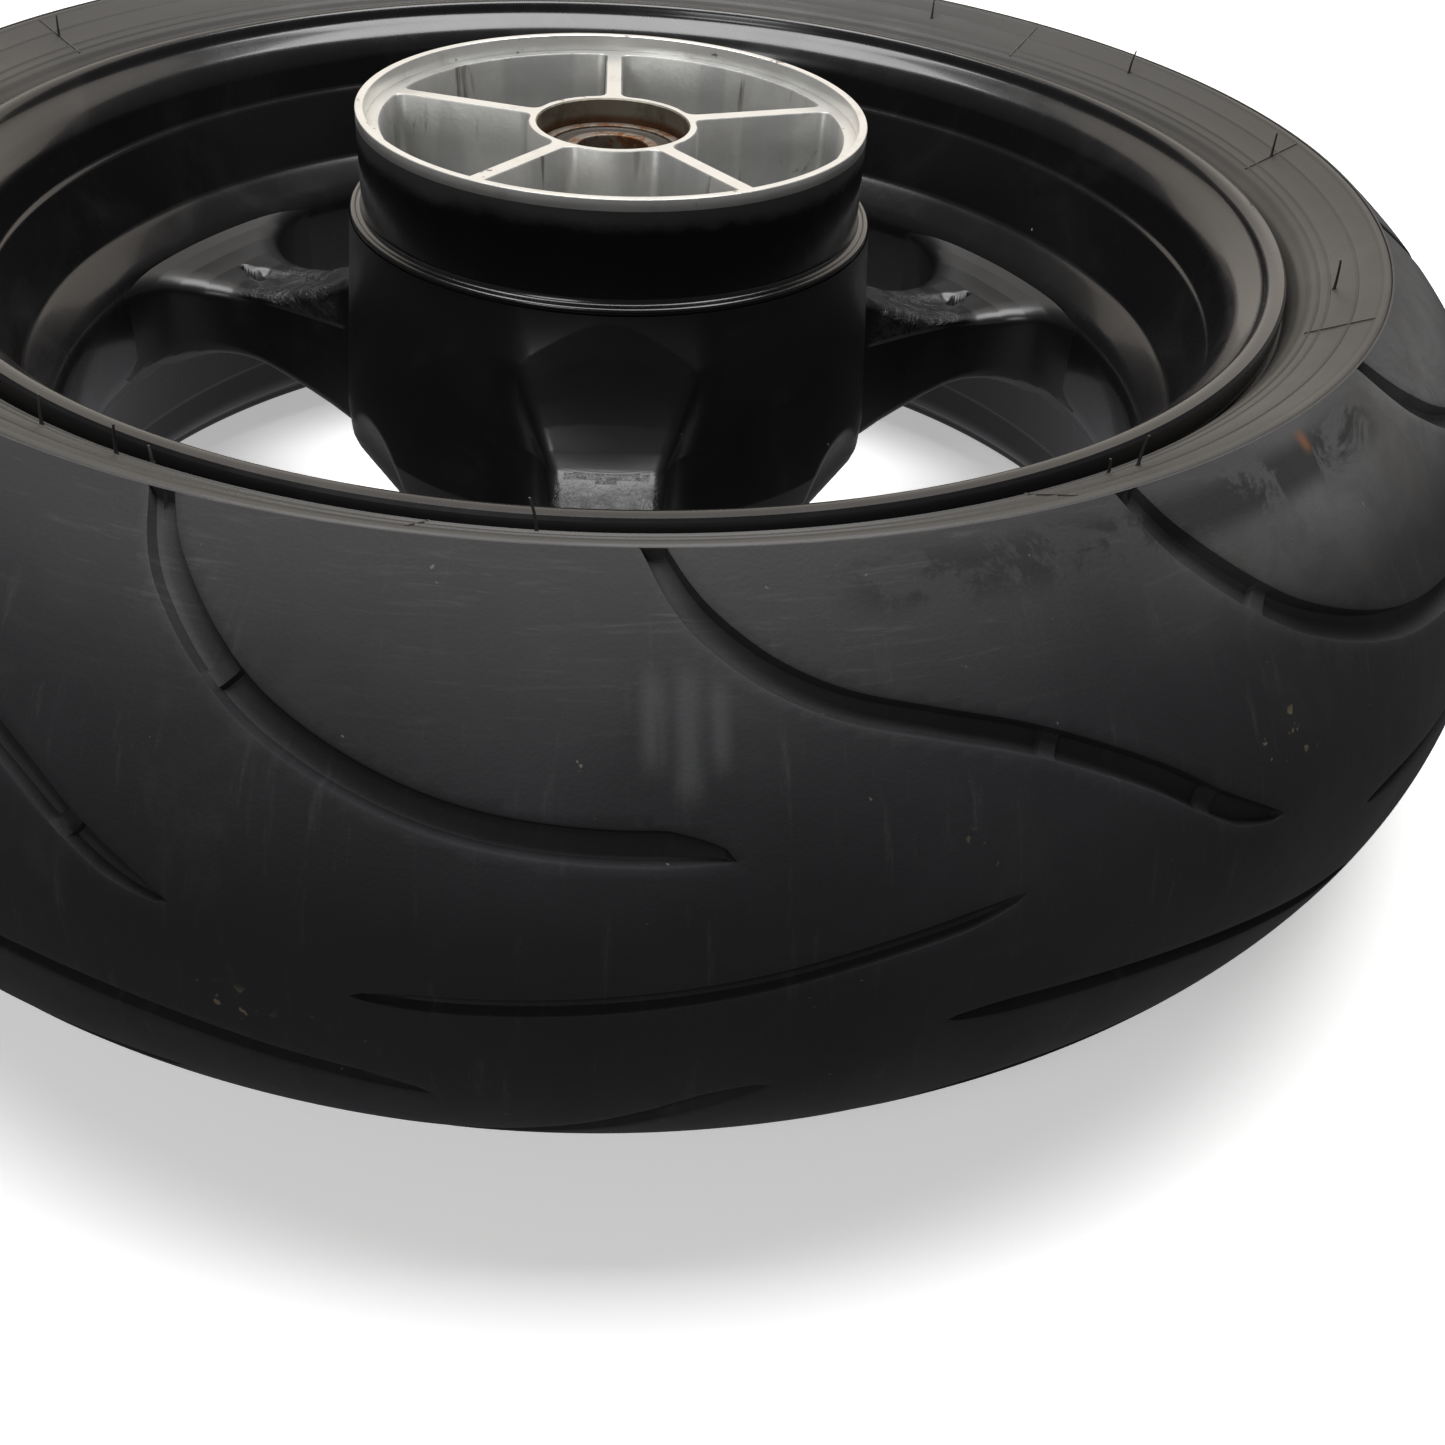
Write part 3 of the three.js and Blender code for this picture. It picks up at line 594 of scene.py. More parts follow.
def groove_loops(groove):
    """Closed loops round one groove on the flattened tread: (x, y, sink) rows, widest first."""
    fine = smooth_curve(groove["route"], 400)
    path = np.stack([np.radians(fine[:, 0]) * FLAT_RADIUS, fine[:, 1]], 1)
    along = np.r_[0, np.cumsum(np.hypot(*np.diff(path, axis=0).T))]
    length = along[-1]
    places = set(np.linspace(0, length, int(length / STATION)).round(3))
    bars = [float(np.interp(-bar, -path[:, 1], along)) for bar in groove["bars"]]
    for bar in bars:
        places = {p for p in places if abs(abs(p - bar) - BAR_HALF) > 1.0}
        places |= {bar - BAR_HALF - 0.45, bar - BAR_HALF + 0.25}
        places |= {bar + BAR_HALF - 0.25, bar + BAR_HALF + 0.45}
    places = np.array(sorted(places))
    x, y = (np.interp(places, along, path[:, i]) for i in (0, 1))
    dx, dy = np.gradient(x), np.gradient(y)
    size = np.hypot(dx, dy)
    nx, ny = -dy / size, dx / size
    shrink = FLAT_RADIUS / tread_radius(height_at(y))
    open_end = y[0] > SECTION
    opening = np.clip(places / OPENING_RUN, 0, 1)
    if not open_end:
        opening = np.sqrt(np.clip(places / POINTED_RUN, 0, 1))
    closing = np.sqrt(np.clip((length - places) / CLOSING_RUN, 0, 1))
    half = groove["width"] / 2 * (0.62 + 0.38 * opening if open_end else opening) * closing
    depth = groove["depth"] * (0.6 + 0.4 * opening) * (0.3 + 0.7 * closing)
    lean = groove["tip"] * groove["width"] / 2 * (1 - closing)
    x, y = x + nx * lean * shrink, y + ny * lean
    for bar in bars:
        depth = np.where(np.abs(places - bar) < BAR_HALF, np.minimum(depth, BAR_DEPTH), depth)
    loops = []
    for share, sunk in ((None, 0.0),) + GROOVE_SECTION:
        reach = half + EDGE_ROUNDING if share is None else half * share
        sink = depth * sunk
        left = np.stack([x + nx * reach * shrink, y + ny * reach, sink], 1)
        right = np.stack([x - nx * reach * shrink, y - ny * reach, sink], 1)
        if share is not None:
            inner = slice(1, -1)
            ends = [np.array([[x[i], y[i], 0.1]]) for i in (0, -1)]
            loops.append(np.vstack([ends[0], left[inner], ends[1], right[inner][::-1]]))
        else:
            loops.append(np.vstack([left, right[::-1]]))
    return loops


def split_at_seams(loop):
    """The closed loop with a point added wherever it crosses an edge of the repeat."""
    for axis, seam in ((0, 0.0), (0, PERIOD), (1, SECTION), (1, -SECTION)):
        out = []
        for i, here in enumerate(loop):
            after = loop[(i + 1) % len(loop)]
            out.append(here)
            if (here[axis] - seam) * (after[axis] - seam) < 0:
                t = (seam - here[axis]) / (after[axis] - here[axis])
                point = here + t * (after - here)
                point[axis] = seam
                out.append(point)
        loop = np.array(out)
    return loop


def flat_repeat():
    """One repeat of the flattened tread, triangulated so that every groove edge is a mesh edge."""
    loops = []
    for groove in GROOVES:
        for loop in groove_loops(groove):
            for copy in (-2, -1, 0, 1):
                for mirror in (1, -1):
                    shifted = loop.copy()
                    shifted[:, 0] += copy * PERIOD + (PERIOD / 2 if mirror < 0 else 0)
                    shifted[:, 1] *= mirror
                    if shifted[:, 0].max() > -1 and shifted[:, 0].min() < PERIOD + 1:
                        loops.append(split_at_seams(shifted))
    xs = np.linspace(0, PERIOD, COLUMNS + 1)
    ys = np.linspace(-SECTION, SECTION, ROWS)
    grid = np.stack(np.meshgrid(xs, ys, indexing="ij"), -1).reshape(-1, 2)
    inside = np.zeros(len(grid), bool)
    for loop in loops:
        if loop[:, 2].max() > 0:
            continue
        a, b = loop[:, :2], np.roll(loop[:, :2], -1, axis=0)
        near = (grid[:, 0] > a[:, 0].min() - 2) & (grid[:, 0] < a[:, 0].max() + 2)
        near &= (grid[:, 1] > a[:, 1].min() - 2) & (grid[:, 1] < a[:, 1].max() + 2)
        index = np.nonzero(near)[0]
        p = grid[index][:, None, :]
        e = b - a
        t = np.clip(((p - a) * e).sum(-1) / np.maximum((e * e).sum(-1), 1e-9), 0, 1)
        gap = np.hypot(*np.moveaxis(p - a - t[..., None] * e, -1, 0)).min(1)
        crossing = (a[:, 1] > p[..., 1]) != (b[:, 1] > p[..., 1])
        with np.errstate(divide="ignore", invalid="ignore"):
            at = a[:, 0] + (p[..., 1] - a[:, 1]) / (b[:, 1] - a[:, 1]) * e[:, 0]
        within = (crossing & (p[..., 0] < at)).sum(1) % 2 == 1
        inside[index] |= within | (gap < GRID_GAP)
    grid = grid[~inside]
    points = [tuple(p) for p in grid]
    sinks = [0.0] * len(points)
    corner = len(points)
    points += [(0.0, -SECTION), (0.0, SECTION), (PERIOD, -SECTION), (PERIOD, SECTION)]
    sinks += [0.0] * 4
    edges = [(corner, corner + 1), (corner + 2, corner + 3), (corner, corner + 2), (corner + 1, corner + 3)]
    for loop in loops:
        base, count = len(points), len(loop)
        points += [tuple(p) for p in loop[:, :2]]
        sinks += list(loop[:, 2])
        edges += [(base + i, base + (i + 1) % count) for i in range(count)]
    out, _, faces, origins, _, _ = delaunay_2d_cdt([Vector(p) for p in points], edges, [], 0, 1e-5)
    place = np.array([tuple(p) for p in out])
    sink = np.array([max((sinks[i] for i in origin), default=0.0) for origin in origins])
    faces = np.array([f for f in faces if len(f) == 3])
    middle = place[faces].mean(1)
    faces = faces[(middle[:, 0] > 0) & (middle[:, 0] < PERIOD) & (np.abs(middle[:, 1]) < SECTION)]
    used = np.unique(faces)
    renumber = np.full(len(place), -1)
    renumber[used] = np.arange(len(used))
    return place[used], sink[used], renumber[faces]


def make_tread():
    place, sink, faces = flat_repeat()
    w = height_at(place[:, 1])
    slope = tread_slope(w)
    length = np.hypot(1, slope)
    r = tread_radius(w) - sink / length
    h = w - sink * slope / length
    turn = place[:, 0] / FLAT_RADIUS + math.radians(FIRST_REPEAT)
    verts, uvs, polygons = [], [], []
    for k in range(REPEATS):
        a = turn + k * 2 * math.pi / REPEATS
        verts.append(np.stack([r * np.cos(a), r * np.sin(a), h + MID], 1))
        uvs.append(np.stack([(a - math.radians(FIRST_REPEAT)) / (2 * math.pi), place[:, 1] * MM], 1))
        polygons.append(faces + k * len(place))
    verts, polygons, uvs = (np.vstack(rows) for rows in (verts, polygons, uvs))
    tread = new_object("tyre_tread", verts, polygons, tread_material(), uvs, 30)
    work = bmesh.new()
    work.from_mesh(tread.data)
    bmesh.ops.remove_doubles(work, verts=work.verts, dist=0.01 * MM)
    bmesh.ops.recalc_face_normals(work, faces=work.faces)
    work.to_mesh(tread.data)
    work.free()
    finish_piece(tread, nodes=["tread_rubber"])
    edge = [(262.5, -97), (261.9, -96.9), (261.9, -87.2)]
    under = [(float(tread_radius(np.float64(HALF * s))) - 7.6, s * HALF * 0.93)
             for s in (-0.86, -0.5, 0, 0.5, 0.86)]
    under = edge + under + [(r, -w) for r, w in reversed(edge)]
    lining = turned("tread_underside", under, plain_rubber("tread_underside_rubber"), 360, closed=False)
    finish_piece(lining, nodes=["tread_rubber"])


# ---------------------------------------------------------------- sidewalls

# The visible sidewall from the tread's edge in to the rim: mould steps and fine raised lines.
SIDEWALL = (
    (261.7, 87.4, 0), (261.9, 96.6, 0.5), (260.6, 97.0, 0.3), (259.4, 96.95, 0.3), (258.6, 96.2, 0.3),
    (256.0, 94.9, 0.4), (252.8, 93.2, 0.2), (252.4, 93.5, 0.1), (251.8, 92.8, 0.2), (248.6, 91.0, 0.5),
    (245.2, 89.3, 0.1), (244.8, 89.55, 0.1), (244.2, 88.8, 0.1), (242.2, 87.8, 0.1), (241.8, 88.1, 0.1),
    (241.2, 87.3, 0.1), (239.7, 86.4, 0.5), (238.3, 84.6, 0.5), (236.6, 83.0, 0.6), (235.2, 80.6, 0.6),
    (234.0, 78.0, 0.5), (233.3, 75.9, 0.5), (221.2, 75.8, 1.5), (218.8, 74.2, 0.5), (218.75, 58.8, 0.4),
    (219.7, 58.8, 0.1), (219.8, 73.6, 0), (229.0, 73.6, 0), (250.0, 83.3, 0),
)
MOULD_LINES = (8, 44, 80, 116, 152, 188, 224, 260, 296, 332)


def make_sidewalls():
    material = sidewall_material()
    for side, place in ((1, "upper"), (-1, "lower")):
        outline = eased(SIDEWALL, 0.3, 2) * (1, side)
        if side < 0:
            outline = outline[::-1]
        wall = turned(f"tyre_sidewall_{place}", outline[::-1], material, 720, smooth_angle=22)
        finish_piece(wall, nodes=[f"sidewall_rubber_{place}"])


def strip_box(start, end, width, height, lift):
    """A low ridge between two points of the sidewall, for mould lines and wear marks."""
    a, b = np.array(start, float), np.array(end, float)
    along = (b - a) / np.linalg.norm(b - a)
    up = np.array([0, 0, lift], float)
    across = np.cross(along, up)
    across = across / np.linalg.norm(across) * width / 2
    top = up / abs(lift) * height
    deep = -up / abs(lift) * 0.8
    loops = []
    for p in (a, b):
        loops += [p + across + deep, p + across * 0.5 + top, p - across * 0.5 + top, p - across + deep]
    faces = [(0, 1, 5, 4), (1, 2, 6, 5), (2, 3, 7, 6), (3, 0, 4, 7), (3, 2, 1, 0), (4, 5, 6, 7)]
    return loops, faces


def merge(parts):
    verts, faces = [], []
    for points, polygons in parts:
        base = len(verts)
        verts += [tuple(p) for p in points]
        faces += [tuple(base + i for i in polygon) for polygon in polygons]
    return verts, faces


def make_mould_lines():
    """Raised radial lines where the mould's segments met."""
    parts = []
    for side in (1, -1):
        for degrees in MOULD_LINES:
            a = math.radians(degrees + (0 if side > 0 else 18))
            ends = [(r * math.cos(a), r * math.sin(a), MID + side * w)
                    for r, w in ((240.6, 87.1), (252.3, 93.1), (259.0, 96.5))]
            parts.append(strip_box(ends[0], ends[1], 0.9, 0.35, side))
            parts.append(strip_box(ends[1], ends[2], 0.9, 0.35, side))
    rubber = plain_rubber("mould_line_rubber", (0.05, 0.046, 0.042))
    lines = new_object("tyre_mould_lines", *merge(parts), rubber)
    finish_piece(lines)


def hair(root, lean, length, radius, sides=7, steps=8):
    """A thin moulded rubber thread, thicker at its foot, leaning over a little."""
    verts, faces = [], []
    for i in range(steps + 1):
        t = i / steps
        centre = np.array(root) + np.array([lean[0] * t * t, lean[1] * t * t, length * t])
        size = radius * (1.5 if i == 0 else 1.0) * (1 - 0.35 * t)
        for j in range(sides):
            a = 2 * math.pi * j / sides
            verts.append(tuple(centre + np.array([size * math.cos(a), size * math.sin(a), 0])))
    for i in range(steps):
        for j in range(sides):
            a, b = i * sides + j, i * sides + (j + 1) % sides
            faces.append((a, b, b + sides, a + sides))
    faces.append(tuple(reversed(range(sides))))
    faces.append(tuple(range(steps * sides, (steps + 1) * sides)))
    return verts, faces


# Vent hairs on the upper sidewall: angle in degrees, radius, height of the hair.
HAIRS = ((234.2, 243, 8), (240.3, 243, 9), (242.3, 240, 4), (266.2, 243, 9), (303.9, 246, 9),
         (301.9, 244, 5), (340, 246, 10), (8, 250, 9), (31, 252, 9), (55, 250, 8), (79, 252, 7),
         (104, 250, 9), (128, 250, 8), (152, 250, 8), (176, 250, 9), (203, 248, 8))


def make_hairs():
    rng = np.random.default_rng(7)
    parts = []
    for degrees, r, tall in HAIRS:
        a = math.radians(degrees)
        w = np.interp(r, (241.2, 251.8, 259.4), (87.3, 92.8, 96.9))
        lean = rng.uniform(-1.6, 1.6, 2)
        parts.append(hair((r * math.cos(a), r * math.sin(a), MID + w - 0.4), lean, tall, 0.5))
    hairs = new_object("tyre_vent_hairs", *merge(parts), plain_rubber("hair_rubber", (0.025, 0.024, 0.023)))
    finish_piece(hairs)


# ---------------------------------------------------------------- rim

# Half the rim's section: radius, height and how round the corner is, out from the well and back.
RIM_HALF = (
    (199.5, 21, 4), (209.5, 33, 3), (217.4, 53, 1.5), (218.3, 57, 1), (218.3, 74.0, 1.5),
    (221.0, 76.2, 1.5), (230.6, 76.3, 0.8), (232.4, 77.6, 0.9), (232.5, 86.2, 3.6), (226.5, 86.2, 3.2),
    (225.3, 81.6, 1.4), (221.6, 79.2, 0.9), (218.3, 76.8, 1.4), (214.9, 71.5, 3.0), (213.4, 58.6, 2.0),
    (212.2, 57.2, 1.0), (206.4, 30.8, 1.0), (204.6, 29.0, 1.6), (195.0, 17.5, 6.0),
)


def rim_outline():
    upper = list(RIM_HALF)
    lower = [(r, -w, size) for r, w, size in reversed(upper)]
    return eased(upper + lower, 1.0, 3)


def make_rim(material):
    rim = turned("rim_barrel", rim_outline()[::-1], material, 480, smooth_angle=30)
    casting_piece(rim)


# ---------------------------------------------------------------- spokes and hub body

SPOKE_ANGLES = (30, 150, 270)
# Spoke sections: distance from the spin axis, half width, top and bottom. The top sweeps up the hub.
SPOKE = np.array([
    (60, 20.8, 54, -46), (92.6, 20.8, 53, -40.6), (94.4, 20.8, 48, -40.2), (96.4, 20.8, 42.5, -39.7),
    (99, 20.7, 38, -38.8), (103, 20.2, 33, -37.6), (108, 19.4, 29, -36), (114, 18.7, 25.4, -34),
    (122, 18.2, 21, -31.2), (132, 17.8, 16.8, -28.3), (144, 17.8, 13.3, -24.8), (156, 18, 11.0, -21.7),
    (168, 18.3, 10.0, -19.2), (178, 18.6, 10.8, -17.5), (186, 19, 12.9, -16.8), (192, 19.5, 15.4, -16.3),
    (196, 20, 17.8, -16), (230, 20, 17.8, -16),
], float)
# The hub's outside: height and radius, before the scoops and spokes.
HUB_SIDE = np.array([
    (-66, 62), (-58, 62), (-54, 64.4), (-39, 78), (-14, 92.4), (-9, 95.2), (-4, 97), (4, 97.5),
    (60, 93), (76, 91.7),
], float)
# A scoop's middle line from top to bottom, as radius and height, and how round it is.
SCOOP = ((115, -10), (83.5, -55), 27)
WELL = np.array([(-58.6, 213.4), (-29.8, 205.3), (-17.5, 195), (17.5, 195), (29.8, 205.3), (58.6, 213.4)])
# Where the spoke's top takes over from the soft join with the well.
LID_FROM, LID_FULL = 118.0, 142.0
# The trough along a spoke's top, as distance from the spin axis and half width, and its depth.
TROUGH = ((138, 3.5), (147, 7.0), (158, 7.5), (166, 4.5))
TROUGH_DEPTH = 2.6
# The slot at its outer end: where it starts and ends, half width and depth.
SLOT = (168.0, 175.5, 2.0, 7.0)
# How far the spokes' mesh and the hub's mesh reach; they overlap a little.
SPOKE_FROM, SPOKE_TO = 104.0, 195.6
HUB_PATCH_REACH = 112.0


def soft_join(a, b, reach):
    h = np.clip(0.5 + 0.5 * (b - a) / reach, 0, 1)
    return b + (a - b) * h - reach * h * (1 - h)


def soft_cut(a, b, reach):
    """a less what b covers, with a rounded edge."""
    return -soft_join(-a, b, reach)


def steepness(values):
    return 1 / np.hypot(1, np.gradient(values, SPOKE[:, 0]))


TOP_EASE, BOTTOM_EASE = steepness(SPOKE[:, 2]), steepness(SPOKE[:, 3])


def spoke_distance(u, v, w):
    half, top, bottom, top_ease, bottom_ease = (
        np.interp(u, SPOKE[:, 0], column)
        for column in (SPOKE[:, 1], SPOKE[:, 2], SPOKE[:, 3], TOP_EASE, BOTTOM_EASE))
    corner, inner_end = 5.0, 40.0
    # The sides spread where the top sweeps up the hub.
    qx = v - half - 0.3 * np.clip(w - 28, 0, 30) + corner
    qy = np.maximum((w - top) * top_ease, (bottom - w) * bottom_ease) + corner
    outside = np.hypot(np.maximum(qx, 0), np.maximum(qy, 0))
    return np.maximum(outside + np.minimum(np.maximum(qx, qy), 0) - corner, inner_end - u)


def trough_distance(u, v, w):
    """The shallow rough trough along a spoke's top, and the short deep slot at its outer end."""
    above = w - np.interp(u, SPOKE[:, 0], SPOKE[:, 2])
    t = np.clip(u, TROUGH[0][0], TROUGH[-1][0])
    rise = np.minimum(above + TROUGH_DEPTH, 12)
    side = np.hypot(u - t, v) - np.interp(t, *zip(*TROUGH)) - 0.6 * rise
    trough = soft_cut(side * 0.85, rise, 3.0)
    start, end, half, depth = SLOT
    slot = np.hypot(u - np.clip(u, start, end), v) - half * (1 - np.abs(u - (start + end) / 2) / 18)
    return soft_join(trough, soft_cut(slot, above + depth, 1.0), 1.5)


def casting_distance(x, y, w):
    """Signed distance to the hub's outside, the spokes and the well joined softly, in millimetres."""
    r = np.hypot(x, y)
    # All three spokes are alike and symmetric, so half of one is enough.
    turned_back = np.arctan2(y, x) - math.radians(SPOKE_ANGLES[0])
    bearing = np.abs((turned_back + math.pi / 3) % (2 * math.pi / 3) - math.pi / 3)
    u, v = r * np.cos(bearing), r * np.sin(bearing)
    hub = (r - np.interp(w, HUB_SIDE[:, 0], HUB_SIDE[:, 1])) * np.interp(w, (-14, -4), (0.84, 1.0))
    (ar, aw), (br, bw), bulk = SCOOP
    along, side = r * np.cos(math.pi / 3 - bearing), r * np.sin(math.pi / 3 - bearing)
    t = np.clip(((along - ar) * (br - ar) + (w - aw) * (bw - aw)) / ((br - ar) ** 2 + (bw - aw) ** 2), 0, 1)
    pill = np.sqrt((along - ar - t * (br - ar)) ** 2 + side ** 2 + (w - aw - t * (bw - aw)) ** 2) - bulk
    hub = soft_cut(hub, pill, 4.0)
    well = (np.interp(w, WELL[:, 0], WELL[:, 1]) + 0.2 - r) * 0.93
    body = soft_join(soft_join(hub, spoke_distance(u, v, w), 12.0), well, 42.0)
    top = np.interp(r, SPOKE[:, 0], SPOKE[:, 2]) + np.interp(r, (LID_FROM, LID_FULL), (14, 0.6))
    body = soft_cut(body, np.where(r > LID_FROM, top - w, 1e3), 5.0)
    return soft_cut(body, trough_distance(u, v, w), 1.4)


def slope_of(x, y, w):
    probe = 0.08
    parts = [casting_distance(x + dx, y + dy, w + dw) - casting_distance(x - dx, y - dy, w - dw)
             for dx, dy, dw in ((probe, 0, 0), (0, probe, 0), (0, 0, probe))]
    slope = np.stack(parts, -1)
    return slope / np.maximum(np.linalg.norm(slope, axis=-1, keepdims=True), 1e-9)


def march(ray, limit, steps=60):
    """How far each ray runs inside the casting before it comes out."""
    reach = np.zeros(np.broadcast(*ray(0.0)).shape)
    for _ in range(steps):
        reach = np.clip(reach - 0.8 * casting_distance(*ray(reach)), 0, limit)
    return reach


def body_patch(name, x, y, w, faces, material, copies):
    """Surface points repeated round the spin axis and shaded by the casting's own slope."""
    normals = slope_of(x, y, w).reshape(-1, 3)
    verts = np.stack([x, y, w + MID], -1).reshape(-1, 3)
    a, b, c = (verts[faces[:, i]] for i in (0, 1, 2))
    facing = (np.cross(b - a, c - a) * normals[faces[:, 0]]).sum(1)
    faces = np.where((facing < 0)[:, None], faces[:, ::-1], faces)
    all_verts, all_normals, all_faces = [], [], []
    for copy in range(copies):
        a = copy * 2 * math.pi / copies
        spin = np.array([[math.cos(a), math.sin(a), 0], [-math.sin(a), math.cos(a), 0], [0, 0, 1]])
        all_verts.append(verts @ spin)
        all_normals.append(normals @ spin)
        all_faces.append(faces + copy * len(verts))
    obj = new_object(name, np.vstack(all_verts), np.vstack(all_faces), material, smooth_angle=180)
    obj.data.normals_split_custom_set_from_vertices(np.vstack(all_normals).tolist())
    return obj


def make_casting_body(material):
    fineness = 1.0
    angle = np.linspace(0, 2 * math.pi / 3, int(300 * fineness))[:, None]
    height = np.linspace(-65, 75.2, int(180 * fineness))[None, :]
    cos, sin = np.cos(angle), np.sin(angle)
    start = 45.0
    reach = start + march(lambda s: ((start + s) * cos, (start + s) * sin, height + 0 * angle), 80)
    faces = grid_faces(*reach.shape, False)
    faces = faces[(faces[:, 1] // reach.shape[1]) > (faces[:, 0] // reach.shape[1])]
    faces = faces[(reach < HUB_PATCH_REACH).ravel()[faces].all(1)]
    hub = body_patch("hub_body", reach * cos, reach * sin, height + 0 * angle, faces, material, 3)
    casting_piece(hub)
    spread = np.linspace(0, 1, int(190 * fineness))[:, None]
    radius = SPOKE_FROM + (SPOKE_TO - SPOKE_FROM) * (1 - (1 - spread) ** 1.35)
    # More rays towards the spoke's top, where its trough is.
    even = np.linspace(0, 2 * math.pi, 2000)
    above = 3.5 * np.exp(-((even - math.pi / 2) / 0.62) ** 4)
    crowd = 1 + above + 0.8 * np.exp(-((even - 1.5 * math.pi) / 0.8) ** 4)
    share = np.r_[0, np.cumsum(crowd[1:])]
    steps = int(250 * fineness)
    round_about = np.interp(np.linspace(0, share[-1], steps, endpoint=False), share, even)[None, :]
    middle = np.interp(radius, SPOKE[:, 0], SPOKE[:, 2] * 0.3 + SPOKE[:, 3] * 0.7) + 0 * round_about
    turn = math.radians(SPOKE_ANGLES[0])

    def ray(s):
        bearing = turn + s * np.cos(round_about) / radius
        return radius * np.cos(bearing), radius * np.sin(bearing), middle + s * np.sin(round_about)

    x, y, w = ray(march(ray, 88))
    faces = grid_faces(*x.shape, True)
    faces = faces[(faces[:, 1] // steps) > (faces[:, 0] // steps)]
    spokes = body_patch("spokes", x, y, w, faces, material, 3)
    casting_piece(spokes)


# ---------------------------------------------------------------- hub ends

# Bearings of the five cush-drive walls, and the heights of the hub's top, its ledge and the pockets.
VANES = (18, 90, 162, 234, 306)
HUB_TOP = 110.8
LEDGE = 105.3
POCKET_FLOOR = 62.0
# On the disc face: threaded holes and core openings, each as circle, radius and sides.
HOLE_CIRCLE, HOLE_MOUTH, HOLE_SIDES = 50, 4.5, 24
CORE_CIRCLE, CORE_MOUTH, CORE_SIDES = 42, 6.6, 32


def pocket_outline(centre, inset):
    """One cush pocket seen from above, with rounded corners, as (x, y) points."""
    outer, inner, half_vane = 79.5 - inset, 29.4 + inset, 3.0 + inset
    reach = math.radians(36)
    corners = []

    def on_vane(side, radius):
        along = math.sqrt(radius * radius - half_vane * half_vane)
        a = side * reach
        x, y = along * math.cos(a), along * math.sin(a)
        return x + side * half_vane * math.sin(a), y - side * half_vane * math.cos(a)

    def arc(radius, start, end, count):
        return [(radius * math.cos(t), radius * math.sin(t)) for t in np.linspace(start, end, count)]

    def corner(a, b, c, size):
        a, b, c = (np.array(p, float) for p in (a, b, c))
        p, q = a - b, c - b
        size = min(size, 0.48 * np.hypot(*p), 0.48 * np.hypot(*q))
        s, e = b + p / np.hypot(*p) * size, b + q / np.hypot(*q) * size
        return [tuple((1 - t) ** 2 * s + 2 * t * (1 - t) * b + t * t * e) for t in np.linspace(0, 1, 6)]

    turn_out = math.atan2(on_vane(1, outer)[1], on_vane(1, outer)[0])
    turn_in = math.atan2(on_vane(1, inner)[1], on_vane(1, inner)[0])
    big, small = arc(outer, -turn_out, turn_out, 25), arc(inner, turn_in, -turn_in, 9)
    corners += big[2:-2]
    corners += corner(big[-3], big[-1], on_vane(1, outer - 9), 5.0)
    corners += corner(on_vane(1, inner + 12), small[0], small[2], 6.5)
    corners += small[2:-2]
    corners += corner(small[-3], small[-1], on_vane(-1, inner + 12), 6.5)
    corners += corner(on_vane(-1, outer - 9), big[0], big[2], 5.0)
    a = math.radians(centre)
    return [(x * math.cos(a) - y * math.sin(a), x * math.sin(a) + y * math.cos(a)) for x, y in corners]


def polar(radius, angle):
    return radius * math.cos(angle), radius * math.sin(angle)


def circle(radius, count):
    return [polar(radius, t) for t in np.linspace(0, 2 * math.pi, count, endpoint=False)]


def holed_plate(loops, w, up):
    """A flat face at a height, bounded by the first loop and cut by the others."""
    mesh = bmesh.new()
    for loop in loops:
        ends = [mesh.verts.new((x, y, w + MID)) for x, y in loop]
        for i, vert in enumerate(ends):
            mesh.edges.new((vert, ends[(i + 1) % len(ends)]))
    bmesh.ops.triangle_fill(mesh, use_beauty=True, use_dissolve=False, edges=mesh.edges[:],
                            normal=(0, 0, up))
    for face in mesh.faces:
        if face.normal.z * up < 0:
            face.normal_flip()
    mesh.verts.index_update()
    verts = [tuple(v.co) for v in mesh.verts]
    faces = [tuple(v.index for v in f.verts) for f in mesh.faces]
    mesh.free()
    return verts, faces


def wall(loops_with_heights, cap=False, flip=False):
    """A strip through loops of equal length, each at its height, with an optional flat end."""
    verts, faces = [], []
    count = len(loops_with_heights[0][0])
    for loop, w in loops_with_heights:
        verts += [(x, y, w + MID) for x, y in loop]
    for i in range(len(loops_with_heights) - 1):
        for j in range(count):
            a, b = i * count + j, i * count + (j + 1) % count
            face = (a, b, b + count, a + count)
            faces.append(face[::-1] if flip else face)
    if cap:
        last = (len(loops_with_heights) - 1) * count
        end = tuple(range(last, last + count))
        faces.append(end[::-1] if flip else end)
    return verts, faces


